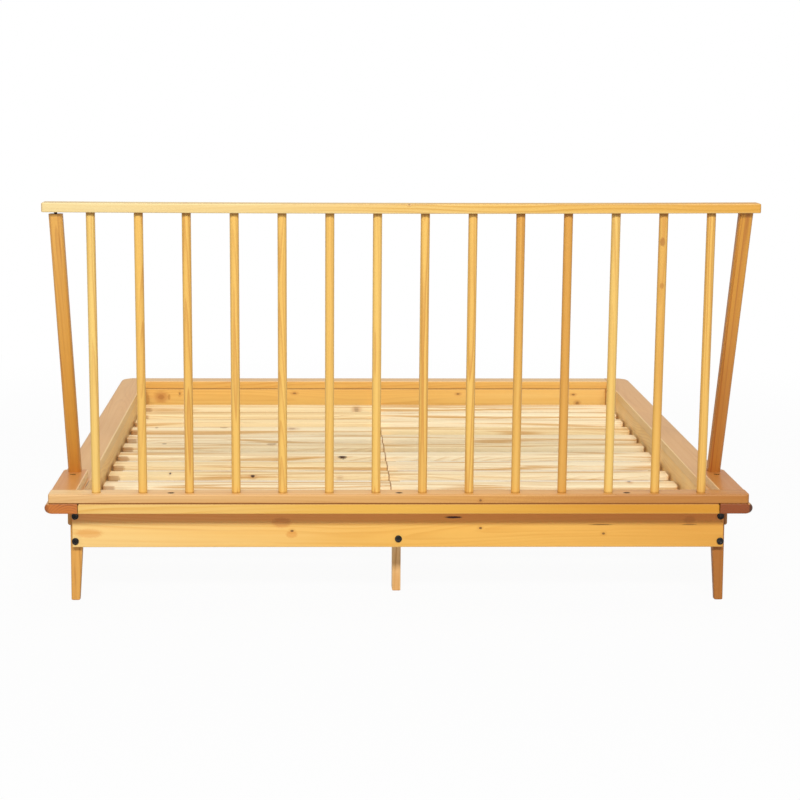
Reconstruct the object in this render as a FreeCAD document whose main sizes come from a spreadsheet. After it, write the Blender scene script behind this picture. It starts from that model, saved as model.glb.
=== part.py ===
import FreeCAD, Part
import os
import re
import Sketcher

# A solid pine spindle bed, in millimetres. Seen from the head end, +X is to the right, +Y runs
# from head to foot and +Z is up. The origin is on the floor, under the middle of the whole bed.

DIMENSIONS = (
    # The ring of flat boards round the mattress
    ("recess_wide", 1544, "mattress 1524 wide with 10 each side"),
    ("frame_length", 2210, "outside length of the ring"),
    ("slab_wide", 80, "width of each board of the ring"),
    ("slab_thick", 25, "thickness of the ring"),
    ("slab_underside", 230, "floor to the underside of the ring"),
    ("head_corner", 12, "corner radius in plan at the head end"),
    ("foot_corner", 40, "corner radius in plan at the foot end"),
    ("slab_edge", 7, "bevel along the ring's outer edges"),
    ("seam_bevel", 2, "bevel beside each seam of the ring"),
    # The rails and aprons under the ring
    ("rail_thick", 20, "thickness of side rails and aprons"),
    ("rail_high", 94, "height of side rails and aprons"),
    ("rail_setback", 2, "inner face of the rails behind the ring's inner edge"),
    ("apron_long", 1584, "length of each apron"),
    ("small_bevel", 2, "bevel of small and hidden edges"),
    # The corner legs
    ("leg_top", 32, "side of the leg's square shaft at the shoulder"),
    ("leg_foot", 21, "side of the leg at the floor"),
    ("leg_shoulder_drop", 43, "height of the leg's wider head"),
    ("leg_shoulder_out", 6, "how far the head stands out past the shaft"),
    ("leg_outside", 798, "centre of the bed to the shaft's outer face"),
    ("leg_bevel", 3, "bevel of the leg's long edges"),
    ("leg_shoulder_round", 5.5, "rounding under the leg's wider head"),
    # The slats, their ledgers and the centre beam
    ("slat_top", 185, "floor to the top of the slats"),
    ("slat_thick", 14, "thickness of a slat"),
    ("slat_wide", 75, "width of a slat"),
    ("slat_pitch", 155, "slat to slat"),
    ("slat_rows", 13, "rows of slats"),
    ("slat_end_gap", 6, "gap between a slat's end and the side rail"),
    ("slat_middle_gap", 4, "gap between the two halves of a row"),
    ("slat_corner", 7, "bevel across a slat's corners in plan"),
    ("ledger_wide", 22, "width of a slat ledger"),
    ("ledger_high", 25, "height of a slat ledger"),
    ("ledger_start", 37, "side rail's end to the ledger's end"),
    ("beam_wide", 60, "width of the centre beam"),
    ("beam_thick", 28, "thickness of the centre beam"),
    ("centre_leg_wide", 21, "centre leg across the bed"),
    ("centre_leg_deep", 45, "centre leg along the bed"),
    ("centre_leg_inset", 200, "head end of the ring to the first centre leg"),
    # The headboard
    ("board_thick", 22, "thickness of base rail, arms and top rail"),
    ("board_deep", 65, "depth of base rail and top rail"),
    ("base_long", 1684, "length of the base rail"),
    ("arm_wide", 63, "width of an arm"),
    ("arm_long", 280, "length of an arm"),
    ("top_long", 1682, "length of the top rail"),
    ("top_corner", 14, "corner radius of the top rail in plan"),
    ("base_corner", 10, "corner radius of the base rail in plan"),
    ("board_edge", 3, "bevel along the headboard's rails"),
    ("clear_high", 678, "between base rail and top rail"),
    ("spindle_round", 21.5, "diameter of a spindle"),
    ("spindle_pitch", 112.1, "spindle to spindle"),
    ("spindle_total", 14, "how many spindles"),
    ("spindle_inset", 26, "back edge of a rail to the spindles' centre line"),
    ("spindle_lean", 48, "how far the top rail stands behind the base rail"),
    ("base_socket", 16, "depth of a spindle's socket in the base rail"),
    ("top_socket", 14, "depth of a spindle's socket in the top rail"),
    ("post_side", 32, "side of a post's section"),
    ("post_corner", 8, "rounding of a post's long edges"),
    ("post_foot_in", 22, "post's foot centre to the arm's forward end"),
    # Fasteners and dowels
    ("bolt_shank", 8, "diameter of a frame bolt"),
    ("bolt_hole", 8.6, "clearance hole of a frame bolt"),
    ("bolt_head", 17, "diameter of a bolt's head"),
    ("bolt_head_high", 4, "height of a bolt's head"),
    ("bolt_key", 8, "key size of a bolt's hexagon socket"),
    ("bolt_long", 84, "length of a bolt's shank"),
    ("bolt_in_rail", 34, "depth of a bolt's hole in a rail's end"),
    ("bolt_low", 15, "apron's lower edge to the lower bolts"),
    ("bolt_high", 77, "apron's lower edge to the upper bolts"),
    ("nut_round", 12, "diameter of a barrel nut"),
    ("nut_long", 14, "length of a barrel nut"),
    ("nut_reach", 22, "rail's end to its barrel nuts"),
    ("screw_shank", 5, "diameter of a headboard screw"),
    ("screw_head", 11, "diameter of a headboard screw's head"),
    ("screw_head_high", 5, "height of a headboard screw's head"),
    ("screw_long", 26, "length of a headboard screw below its head"),
    ("screw_key", 5, "key size of a headboard screw's hexagon socket"),
    ("key_deep", 3, "depth of a hexagon socket"),
    ("screw_in_slab", 15, "depth of a screw's pilot hole in the ring"),
    ("screw_bore", 14, "counterbore over a headboard screw"),
    ("screw_bore_deep", 6, "depth of that counterbore"),
    ("screw_inset", 24, "back edge of the base rail to its screws"),
    ("screw_spread", 549, "centre of the base rail to its outer screws"),
    ("arm_screw", 208, "arm's back end to its screw"),
    ("pin_round", 8, "diameter of a post's steel pin"),
    ("pin_long", 36, "length of a post's pin"),
    ("pin_in_board", 14, "how far a pin enters the rail or arm"),
    ("dowel_round", 10, "diameter of a wooden dowel"),
    ("dowel_long", 30, "length of a wooden dowel"),
    ("dowel_in_slab", 12, "how far a dowel enters the ring"),
    ("dowel_from_end", 300, "end of a side board to its first dowel"),
    ("dowel_from_middle", 400, "bed's middle line to a dowel of an apron"),
    ("arm_dowel_round", 8, "diameter of a dowel between arm and base rail"),
    ("arm_dowel_apart", 16, "an arm's middle line to its dowels"),
    ("stud_round", 8, "diameter of a centre leg's steel stud"),
    ("stud_long", 60, "length of that stud"),
    ("stud_in_beam", 20, "how far the stud enters the beam"),
    ("ledger_screw", 4, "diameter of a ledger screw"),
    ("ledger_screw_head", 8, "diameter of a ledger screw's head"),
    ("ledger_head_high", 2.5, "height of that head"),
    ("ledger_screw_long", 32, "length of a ledger screw below its head"),
    ("ledger_screw_pitch", 850, "ledger screw to ledger screw"),
    ("fit_gap", 0.2, "hole wider than what it takes"),
)

ALIASES = {name for name, _, _ in DIMENSIONS}

# Places that several pieces share, as expressions of the sheet's cells
HEAD = "(-(frame_length - spindle_lean) / 2)"
RING_MIDDLE = "(spindle_lean / 2)"
RING_TOP = "(slab_underside + slab_thick)"
RING_HALF = "(recess_wide / 2 + slab_wide)"
RAIL_FACE = "(recess_wide / 2 + rail_setback)"
RAIL_LINE = "(recess_wide / 2 + rail_setback + rail_thick / 2)"
RAIL_LOW = "(slab_underside - rail_high)"
APRON_INNER = "(slab_wide - rail_setback)"
LEG_FACE = "(slab_wide - rail_setback + leg_top)"
RAIL_LONG = "(frame_length - 2 * (slab_wide - rail_setback + leg_top))"
SLAT_LOW = "(slat_top - slat_thick)"
BASE_TOP = "(slab_underside + slab_thick + board_thick)"
TOP_LOW = "(slab_underside + slab_thick + board_thick + clear_high)"
ARM_LINE = "(base_long / 2 - arm_wide / 2)"
LEAN = "atan(spindle_lean / clear_high)"
SLAT_LONG = "(recess_wide / 2 + rail_setback - slat_end_gap - slat_middle_gap / 2)"
POST_LEAN = "(board_deep + arm_long - post_foot_in + spindle_lean - board_deep / 2)"


# Rows of holes and fasteners: along the ring from its head end, or from the ring's middle,
# across the bed from its middle line, up from a rail's lower edge, and across an arm's middle
SIDE_DOWELS = ("dowel_from_end", "frame_length / 2", "frame_length - dowel_from_end")
CROSS_DOWELS = ("-dowel_from_middle", "dowel_from_middle")
BASE_SCREWS = ("-screw_spread", "0", "screw_spread")
ARM_DOWELS = ("(-arm_dowel_apart)", "arm_dowel_apart")
BOLT_HEIGHTS = ("bolt_low", "bolt_high")
LEDGER_SCREWS = ("-ledger_screw_pitch", "0", "ledger_screw_pitch")
CENTRE_LEGS = ("centre_leg_inset - frame_length / 2", "0", "frame_length / 2 - centre_leg_inset")

# How many flats stand for a circle: out of sight on holes and pins, and on a fastener's head
SHANK_SIDES = 8
HEAD_SIDES = 24

X_AXIS = FreeCAD.Vector(1, 0, 0)
Y_AXIS = FreeCAD.Vector(0, 1, 0)

# Turns that carry the Z axis to a direction
UP = FreeCAD.Rotation()
DOWN = FreeCAD.Rotation(X_AXIS, 180)
TO_FOOT = FreeCAD.Rotation(X_AXIS, -90)
TO_HEAD = FreeCAD.Rotation(X_AXIS, 90)
TO_RIGHT = FreeCAD.Rotation(Y_AXIS, 90)
TO_LEFT = FreeCAD.Rotation(Y_AXIS, -90)

document = FreeCAD.newDocument("spindle_bed")
sheet = document.addObject("Spreadsheet::Sheet", "Dims")
NODES = []


def fill_sheet():
    """One row for each driving dimension: what it is, its value and the value's alias."""
    for row, (alias, value, meaning) in enumerate(DIMENSIONS, start=1):
        sheet.set(f"A{row}", meaning)
        sheet.set(f"B{row}", str(value))
        sheet.setAlias(f"B{row}", alias)
    document.recompute()


def bound(text):
    """The expression with every alias written as a cell of the sheet."""
    def cell(found):
        word = found.group()
        return f"Dims.{word}" if word in ALIASES else word
    return re.sub(r"[A-Za-z_]\w*", cell, str(text))


def size(text):
    """The number that an expression of the sheet's cells has now."""
    value = sheet.evalExpression(bound(text))
    return float(getattr(value, "Value", value))


def node(thing, label):
    """Lists an object as a sub-part under its own label."""
    thing.Label = label
    NODES.append(thing)
    return thing


def place(thing, across="0", along="0", up="0", tilt=None):
    """Binds an object's position, and its turn about X where it leans."""
    if tilt is not None:
        thing.Placement = FreeCAD.Placement(FreeCAD.Vector(), FreeCAD.Rotation(X_AXIS, size(tilt)))
        thing.setExpression("Placement.Rotation.Angle", bound(tilt))
    for axis, text in zip("xyz", (across, along, up)):
        thing.setExpression(f"Placement.Base.{axis}", bound(text))


class Carpentry:
    """A body that is sketched, padded, pocketed and rounded on its own origin planes."""

    def __init__(self, name):
        self.body = document.addObject("PartDesign::Body", name)
        self.name = name
        self.steps = 0

    def named(self, word):
        self.steps += 1
        return f"{self.name}_{word}_{self.steps}"

    def origin_item(self, role):
        """An axis or a plane of the body's own origin."""
        return next(item for item in self.body.Origin.OriginFeatures if item.Role == role)

    def sketch(self, plane="XY", offset=("0", "0", "0")):
        """A sketch on an origin plane, moved in that plane's own axes."""
        drawing = self.body.newObject("Sketcher::SketchObject", self.named("sketch"))
        drawing.AttachmentSupport = [(self.origin_item(f"{plane}_Plane"), "")]
        drawing.MapMode = "FlatFace"
        for axis, text in zip("xyz", offset):
            if text != "0":
                drawing.setExpression(f"AttachmentOffset.Base.{axis}", bound(text))
        return drawing

    def outline(self, drawing, corners):
        """A closed outline whose corners are pairs of expressions from the sketch's origin."""
        points = [FreeCAD.Vector(size(x), size(y), 0) for x, y in corners]
        first = drawing.GeometryCount
        for here, there in zip(points, points[1:] + points[:1]):
            drawing.addGeometry(Part.LineSegment(here, there), False)
        for index, (x, y) in enumerate(corners):
            line = first + index
            after = first + (index + 1) % len(corners)
            drawing.addConstraint(Sketcher.Constraint("Coincident", line, 2, after, 1))
            self.fix(drawing, line, 1, x, y)

    def fix(self, drawing, line, end, across, along):
        """Holds a point of a sketch at its two expressions."""
        for kind, text in (("DistanceX", across), ("DistanceY", along)):
            value = size(text)
            held = drawing.addConstraint(Sketcher.Constraint(kind, -1, 1, line, end, value))
            drawing.renameConstraint(held, f"{kind}_{line}_{end}")
            if re.search("[a-z]", str(text)):
                drawing.setExpression(f"Constraints.{kind}_{line}_{end}", bound(text))

    def disc(self, drawing, diameter):
        """A circle about the sketch's origin."""
        circle = Part.Circle(FreeCAD.Vector(), FreeCAD.Vector(0, 0, 1), size(diameter) / 2)
        ring = drawing.addGeometry(circle, False)
        drawing.addConstraint(Sketcher.Constraint("Coincident", ring, 3, -1, 1))
        held = drawing.addConstraint(Sketcher.Constraint("Diameter", ring, size(diameter)))
        drawing.renameConstraint(held, "across")
        drawing.setExpression("Constraints.across", bound(diameter))

    def pad(self, drawing, length, midplane=False):
        """Material raised from a sketch."""
        raised = self.body.newObject("PartDesign::Pad", self.named("pad"))
        raised.Profile = drawing
        raised.Midplane = midplane
        raised.setExpression("Length", bound(length))
        document.recompute()
        return raised

    def pocket(self, drawing, depth, midplane=False):
        """Material cut away, with proof that something was cut."""
        before = self.body.Shape.Volume
        cut = self.body.newObject("PartDesign::Pocket", self.named("pocket"))
        cut.Profile = drawing
        cut.Midplane = midplane
        cut.setExpression("Length", bound(depth))
        document.recompute()
        if cut.Shape.Volume > before - 1:
            raise RuntimeError(f"{cut.Name} cut nothing")
        return cut

    def slab(self, wide, long, thick, centred=False):
        """A plain board lying flat, from its own corner or about the middle of its length."""
        low = f"(-({long}) / 2)" if centred else "0"
        high = f"({long}) / 2" if centred else long
        drawing = self.sketch("XY")
        self.outline(drawing, (("0", low), (wide, low), (wide, high), ("0", high)))
        return self.pad(drawing, thick)

    def prism(self, kind, spot, turn, radius, length, sides):
        """A many-sided pin or hole that starts at a spot and runs along the turned Z axis."""
        before = 0 if kind == "Additive" else self.body.Shape.Volume
        round_piece = self.body.newObject(f"PartDesign::{kind}Prism", self.named(kind.lower()))
        round_piece.Polygon = sides
        round_piece.Placement = FreeCAD.Placement(FreeCAD.Vector(), turn)
        round_piece.setExpression("Circumradius", bound(radius))
        round_piece.setExpression("Height", bound(length))
        for axis, text in zip("xyz", spot):
            round_piece.setExpression(f"Placement.Base.{axis}", bound(text))
        document.recompute()
        if kind == "Subtractive" and self.body.Shape.Volume > before - 1:
            raise RuntimeError(f"{round_piece.Name} cut nothing")
        return round_piece

    def drill(self, spots, turn, diameter, depth, sides=SHANK_SIDES):
        """Holes of one size from their mouths inward; flats just clear the diameter."""
        radius = f"({diameter}) / 2 / cos({180 / sides} deg)"
        for spot in spots:
            self.prism("Subtractive", spot, turn, radius, depth, sides)

    def counterbore(self, across, along, up):
        """A counterbore for a headboard screw's head, over its clearance hole."""
        self.drill([(across, along, up)], DOWN, "screw_bore", "screw_bore_deep", HEAD_SIDES)
        self.drill([(across, along, f"{up} - screw_bore_deep")], DOWN,
                   "screw_shank + fit_gap", f"{up} - screw_bore_deep")

    def edges(self, wanted):
        """Names of the body's edges that a test picks."""
        found = [f"Edge{index}" for index, edge in enumerate(self.body.Shape.Edges, start=1)
                 if wanted(edge)]
        if not found:
            raise RuntimeError(f"{self.name}: no edge matches")
        return found

    def finish(self, kind, wanted, amount):
        """A Fillet or a Chamfer on the edges that a test picks."""
        tip = self.body.Tip
        names = self.edges(wanted)
        dressed = self.body.newObject(f"PartDesign::{kind}", self.named(kind.lower()))
        dressed.Base = (tip, names)
        dressed.setExpression("Radius" if kind == "Fillet" else "Size", bound(amount))
        document.recompute()
        if dressed.Shape.isNull() or not dressed.isValid():
            raise RuntimeError(f"{dressed.Name} failed on {names}")
        return dressed


def near(value, text):
    """True where a measured value is the one that an expression gives."""
    return abs(value - size(text)) < 0.01


def box_of(edge):
    return edge.BoundBox


def upright(edge):
    """True for a straight vertical edge."""
    box = box_of(edge)
    return box.XLength < 0.01 and box.YLength < 0.01 and box.ZLength > 1


def level_at(edge, *heights):
    """True for an edge that lies flat at one of the heights."""
    box = box_of(edge)
    return box.ZLength < 0.01 and any(near(box.ZMin, height) for height in heights)


def mirrored(source, label, normal, base="0"):
    """The opposite-hand piece, on the other side of the bed's middle."""
    twin = document.addObject("Part::Mirroring", label)
    twin.Source = source
    twin.Normal = normal
    if base != "0":
        twin.setExpression("Base.y", bound(base))
    return node(twin, label)


def across_bed(source, label):
    """The same piece on the right-hand side."""
    return mirrored(source, label, X_AXIS)


def along_bed(source, label):
    """The same piece at the foot end of the ring."""
    return mirrored(source, label, Y_AXIS, RING_MIDDLE)


def group(master, label, places):
    """Separate solids of one fastener, one at each placement, as a single sub-part."""
    copies = []
    for number, (turn, across, along, up) in enumerate(places, start=1):
        copy = document.addObject("App::Link", f"{label}_{number:02d}")
        copy.LinkedObject = master
        copy.Placement = FreeCAD.Placement(FreeCAD.Vector(), turn)
        for axis, text in zip("xyz", (across, along, up)):
            copy.setExpression(f"Placement.Base.{axis}", bound(text))
        copies.append(copy)
    joined = document.addObject("Part::Compound", label)
    joined.Links = copies
    document.recompute()
    return node(joined, label)


def build_ring():
    """Four flat boards round the mattress: two full-length sides, and two ends between them."""
    side = Carpentry("side_slab_left")
    side.slab("slab_wide", "frame_length", "slab_thick")
    side.finish("Fillet", lambda e: upright(e) and near(box_of(e).XMin, "0")
                and near(box_of(e).YMin, "0"), "head_corner")
    side.finish("Fillet", lambda e: upright(e) and near(box_of(e).XMin, "0")
                and near(box_of(e).YMin, "frame_length"), "foot_corner")
    side.finish("Chamfer", lambda e: level_at(e, "0", "slab_thick")
                and near(box_of(e).XMin, "slab_wide"), "seam_bevel")
    side.finish("Chamfer", lambda e: level_at(e, "0", "slab_thick")
                and near(box_of(e).XMax, "0"), "slab_edge")
    line = f"({RING_HALF} - {RAIL_LINE})"
    side.drill([(line, along, "0") for along in SIDE_DOWELS], UP,
               "dowel_round + fit_gap", "dowel_in_slab + fit_gap")
    side.drill([(f"{RING_HALF} - {ARM_LINE}", "board_deep + arm_screw", "slab_thick")], DOWN,
               "screw_shank + fit_gap", "screw_in_slab + fit_gap")
    place(side.body, f"-{RING_HALF}", HEAD, "slab_underside")
    node(side.body, "side_slab_left")
    across_bed(side.body, "side_slab_right")
    node(cross_slab("head_slab", screwed=True).body, "head_slab")
    along_bed(cross_slab("plain_cross_slab", screwed=False).body, "foot_slab")


def cross_slab(name, screwed):
    """A board across one end of the ring, with pilot holes where the headboard is screwed on."""
    cross = Carpentry(name)
    drawing = cross.sketch("XY")
    half = "recess_wide / 2"
    cross.outline(drawing, ((f"-{half}", "0"), (half, "0"),
                            (half, "slab_wide"), (f"-{half}", "slab_wide")))
    cross.pad(drawing, "slab_thick")
    cross.finish("Chamfer", lambda e: level_at(e, "0", "slab_thick")
                 and (box_of(e).XLength < 1 or near(box_of(e).YMin, "slab_wide")), "seam_bevel")
    cross.finish("Chamfer", lambda e: level_at(e, "0", "slab_thick")
                 and near(box_of(e).YMax, "0"), "slab_edge")
    middle = f"{APRON_INNER} - rail_thick / 2"
    cross.drill([(across, middle, "0") for across in CROSS_DOWELS], UP,
                "dowel_round + fit_gap", "dowel_in_slab + fit_gap")
    if screwed:
        cross.drill([(across, "screw_inset", "slab_thick") for across in BASE_SCREWS], DOWN,
                    "screw_shank + fit_gap", "screw_in_slab + fit_gap")
    place(cross.body, "0", HEAD, "slab_underside")
    return cross


def build_rails():
    """The side rails between the legs, and the aprons across their outer faces."""
    rail = Carpentry("side_rail_left")
    rail.slab("rail_thick", RAIL_LONG, "rail_high", centred=True)
    middle = "rail_thick / 2"
    for side, turn in (("-", TO_FOOT), ("", TO_HEAD)):
        rail.drill([(middle, f"{side}{RAIL_LONG} / 2", up) for up in BOLT_HEIGHTS], turn,
                   "bolt_hole", "bolt_in_rail")
        nut_line = f"{side}({RAIL_LONG} / 2 - nut_reach)"
        rail.drill([("rail_thick", nut_line, up) for up in BOLT_HEIGHTS], TO_LEFT,
                   "nut_round + fit_gap", f"{middle} + nut_long / 2 + fit_gap")
    rail.drill([(middle, f"{along} - frame_length / 2", "rail_high") for along in SIDE_DOWELS], DOWN,
               "dowel_round + fit_gap", "dowel_long - dowel_in_slab + fit_gap")
    pilot_up = f"{SLAT_LOW} - ledger_high / 2 - {RAIL_LOW}"
    rail.drill([("rail_thick", along, pilot_up) for along in LEDGER_SCREWS], TO_LEFT,
               "ledger_screw + fit_gap", "ledger_screw_long - ledger_wide + fit_gap")
    place(rail.body, f"-{RAIL_FACE} - rail_thick", RING_MIDDLE, RAIL_LOW)
    node(rail.body, "side_rail_left")
    across_bed(rail.body, "side_rail_right")

    apron = Carpentry("head_apron")
    drawing = apron.sketch("XY")
    half = "apron_long / 2"
    apron.outline(drawing, ((f"-{half}", "0"), (half, "0"),
                            (half, "rail_thick"), (f"-{half}", "rail_thick")))
    apron.pad(drawing, "rail_high")
    apron.finish("Chamfer", lambda e: near(box_of(e).YMax, "0"), "small_bevel")
    holes = [(f"{side}{RAIL_LINE}", "0", up) for side in ("-", "") for up in BOLT_HEIGHTS]
    holes.append(("0", "0", f"{SLAT_LOW} - beam_thick / 2 - {RAIL_LOW}"))
    apron.drill(holes, TO_FOOT, "bolt_hole", "rail_thick")
    apron.drill([(across, middle, "rail_high") for across in CROSS_DOWELS], DOWN,
                "dowel_round + fit_gap", "dowel_long - dowel_in_slab + fit_gap")
    place(apron.body, "0", f"{HEAD} + {APRON_INNER} - rail_thick", RAIL_LOW)
    node(apron.body, "head_apron")
    along_bed(apron.body, "foot_apron")


def build_legs():
    """Four square legs that taper on their two inner faces, below a wider rounded shoulder."""
    leg = Carpentry("leg_head_left")
    shaft_high = "(slab_underside - leg_shoulder_drop)"
    leg.slab("leg_top", "leg_top", shaft_high)
    past = "leg_top + leg_shoulder_out"
    wedge = (("leg_foot", "0"), (past, "0"), (past, shaft_high), ("leg_top", shaft_high))
    for plane in ("XZ", "YZ"):
        drawing = leg.sketch(plane)
        leg.outline(drawing, wedge)
        leg.pocket(drawing, f"2 * ({past})", midplane=True)
    leg.finish("Chamfer", lambda e: box_of(e).ZLength > 100, "leg_bevel")
    leg.finish("Chamfer", lambda e: level_at(e, "0"), "small_bevel")
    drawing = leg.sketch("XY", ("0", "0", shaft_high))
    leg.outline(drawing, (("-leg_shoulder_out", "0"), ("leg_top", "0"),
                          ("leg_top", "leg_top"), ("-leg_shoulder_out", "leg_top")))
    leg.pad(drawing, "leg_shoulder_drop")
    leg.finish("Fillet", lambda e: level_at(e, shaft_high)
               and near(box_of(e).XMax, "-leg_shoulder_out"), "leg_shoulder_round")
    centre = f"leg_outside - {RAIL_LINE}"
    leg.drill([(centre, "0", f"{RAIL_LOW} + {up}") for up in BOLT_HEIGHTS], TO_FOOT,
              "bolt_hole", "leg_top")
    place(leg.body, "-leg_outside", f"{HEAD} + {APRON_INNER}", "0")
    node(leg.body, "leg_head_left")
    right = across_bed(leg.body, "leg_head_right")
    along_bed(leg.body, "leg_foot_left")
    along_bed(right, "leg_foot_right")


def build_supports():
    """The ledgers along the side rails, and the flat beam down the middle on its own legs."""
    ledger = Carpentry("slat_ledger_left")
    ledger.slab("ledger_wide", f"({RAIL_LONG} - 2 * ledger_start)", "ledger_high", centred=True)
    ledger.finish("Chamfer", lambda e: level_at(e, "0", "ledger_high")
                  and near(box_of(e).XMin, "ledger_wide"), "small_bevel")
    ledger.drill([("ledger_wide", along, "ledger_high / 2") for along in LEDGER_SCREWS], TO_LEFT,
                 "ledger_screw + fit_gap", "ledger_wide")
    place(ledger.body, f"-{RAIL_FACE}", RING_MIDDLE, f"{SLAT_LOW} - ledger_high")
    node(ledger.body, "slat_ledger_left")
    across_bed(ledger.body, "slat_ledger_right")

    beam = Carpentry("centre_beam")
    beam_long = f"(frame_length - 2 * {APRON_INNER})"
    beam.slab("beam_wide", beam_long, "beam_thick", centred=True)
    beam.finish("Chamfer", lambda e: box_of(e).YLength > 100, "small_bevel")
    line = "beam_wide / 2"
    for side, turn in (("-", TO_FOOT), ("", TO_HEAD)):
        beam.drill([(line, f"{side}{beam_long} / 2", "beam_thick / 2")], turn,
                   "bolt_hole", "leg_top + bolt_in_rail")
        beam.drill([(line, f"{side}({beam_long} / 2 - leg_top - nut_reach)", "0")], UP,
                   "nut_round + fit_gap", "beam_thick / 2 + nut_long / 2 + fit_gap")
    beam.drill([(line, along, "0") for along in CENTRE_LEGS], UP,
               "stud_round + fit_gap", "stud_in_beam + fit_gap")
    place(beam.body, f"-{line}", RING_MIDDLE, f"{SLAT_LOW} - beam_thick")
    node(beam.body, "centre_beam")

    high = f"({SLAT_LOW} - beam_thick)"
    for name, along in zip(("head", "middle", "foot"), CENTRE_LEGS):
        leg = Carpentry(f"centre_leg_{name}")
        leg.slab("centre_leg_wide", "centre_leg_deep", high, centred=True)
        leg.finish("Chamfer", upright, "small_bevel")
        leg.drill([("centre_leg_wide / 2", "0", high)], DOWN,
                  "stud_round + fit_gap", "stud_long - stud_in_beam + fit_gap")
        place(leg.body, "-centre_leg_wide / 2", f"{RING_MIDDLE} + ({along})", "0")
        node(leg.body, f"centre_leg_{name}")


def build_slats():
    """Rows of two half slats, which meet over the centre beam."""
    half = Carpentry("half_slat")
    half.slab(SLAT_LONG, "slat_wide", "slat_thick")
    half.finish("Chamfer", upright, "slat_corner")
    start = f"({RING_MIDDLE} - (slat_rows - 1) / 2 * slat_pitch - slat_wide / 2)"
    for row in range(int(size("slat_rows"))):
        along = f"{start} + {row} * slat_pitch"
        group(half.body, f"slat_row_{row + 1:02d}",
              ((UP, f"-{SLAT_LONG} - slat_middle_gap / 2", along, SLAT_LOW),
               (UP, "slat_middle_gap / 2", along, SLAT_LOW)))


def socket_row(rail, face, depth):
    """Leaning blind sockets for the spindles, cut both ways from the rail's face."""
    first = "-(spindle_total - 1) / 2 * spindle_pitch"
    start = (first, f"spindle_inset + {depth} * sin({LEAN})", f"{face} - {depth} * cos({LEAN})")
    turn = FreeCAD.Rotation(X_AXIS, size(LEAN))
    radius = f"(spindle_round + fit_gap) / 2 / cos({180 / SHANK_SIDES} deg)"
    hole = rail.prism("Subtractive", start, turn, radius, f"2 * {depth}", SHANK_SIDES)
    hole.setExpression("Placement.Rotation.Angle", bound(LEAN))
    row = rail.body.newObject("PartDesign::LinearPattern", rail.named("row"))
    row.Originals = [hole]
    row.Direction = (rail.origin_item("X_Axis"), [""])
    row.setExpression("Length", bound("(spindle_total - 1) * spindle_pitch"))
    row.Occurrences = int(size("spindle_total"))
    rail.body.Tip = row
    document.recompute()


def headboard_rail(label, long):
    """A flat board of the headboard, about the middle of its length."""
    rail = Carpentry(label)
    drawing = rail.sketch("XY")
    half = f"({long} / 2)"
    rail.outline(drawing, ((f"-{half}", "0"), (half, "0"),
                           (half, "board_deep"), (f"-{half}", "board_deep")))
    rail.pad(drawing, "board_thick")
    return rail


def build_headboard():
    """The base rail with its two arms, and the top rail."""
    base = headboard_rail("headboard_base_rail", "base_long")
    base.finish("Fillet", lambda e: upright(e) and near(box_of(e).YMax, "0"), "base_corner")
    base.finish("Chamfer", lambda e: level_at(e, "board_thick")
                and near(box_of(e).YMax, "0"), "board_edge")
    socket_row(base, "board_thick", "base_socket")
    for across in BASE_SCREWS:
        base.counterbore(across, "screw_inset", "board_thick")
    dowels = [(f"{side}({ARM_LINE} + {shift})", "board_deep", "board_thick / 2")
              for side in ("-", "") for shift in ARM_DOWELS]
    base.drill(dowels, TO_HEAD, "arm_dowel_round + fit_gap", "dowel_long / 2 + fit_gap")
    place(base.body, "0", HEAD, RING_TOP)
    node(base.body, "headboard_base_rail")

    arm = Carpentry("headboard_arm_left")
    arm.slab("arm_wide", "arm_long", "board_thick")
    arm.finish("Fillet", lambda e: upright(e) and near(box_of(e).YMin, "arm_long"), "base_corner")
    arm.finish("Chamfer", lambda e: level_at(e, "board_thick")
               and near(box_of(e).XMax, "0"), "board_edge")
    line = "arm_wide / 2"
    arm.counterbore(line, "arm_screw", "board_thick")
    arm.drill([(line, "arm_long - post_foot_in", "board_thick")], DOWN,
              "pin_round + fit_gap", "pin_in_board + fit_gap")
    arm.drill([(f"{line} + {shift}", "0", "board_thick / 2") for shift in ARM_DOWELS], TO_FOOT,
              "arm_dowel_round + fit_gap", "dowel_long / 2 + fit_gap")
    place(arm.body, "-base_long / 2", f"{HEAD} + board_deep", RING_TOP)
    node(arm.body, "headboard_arm_left")
    across_bed(arm.body, "headboard_arm_right")

    top = headboard_rail("top_rail", "top_long")
    top.finish("Fillet", upright, "top_corner")
    top.finish("Chamfer", lambda e: level_at(e, "0", "board_thick"), "board_edge")
    socket_row(top, "0", "top_socket")
    top.drill([(f"{side}{ARM_LINE}", "board_deep / 2", "0") for side in ("-", "")], UP,
              "pin_round + fit_gap", "pin_in_board + fit_gap")
    place(top.body, "0", f"{HEAD} - spindle_lean", TOP_LOW)
    node(top.body, "top_rail")


def build_posts():
    """Rounded square posts that rake back from the arms' forward ends to the top rail."""
    post = Carpentry("post_left")
    flat = f"(post_side * sqrt(1 + pow({POST_LEAN} / clear_high; 2)) / 2)"
    drawing = post.sketch("YZ")
    post.outline(drawing, ((f"-{flat}", "0"), (flat, "0"),
                           (f"{flat} - {POST_LEAN}", "clear_high"),
                           (f"-{flat} - {POST_LEAN}", "clear_high")))
    post.pad(drawing, "post_side", midplane=True)
    post.finish("Fillet", lambda e: box_of(e).ZLength > 100, "post_corner")
    deep = "pin_long - pin_in_board + fit_gap"
    post.drill([("0", "0", "0")], UP, "pin_round + fit_gap", deep)
    post.drill([("0", f"-{POST_LEAN}", "clear_high")], DOWN, "pin_round + fit_gap", deep)
    place(post.body, f"-{ARM_LINE}", f"{HEAD} + board_deep + arm_long - post_foot_in", BASE_TOP)
    node(post.body, "post_left")
    across_bed(post.body, "post_right")


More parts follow.
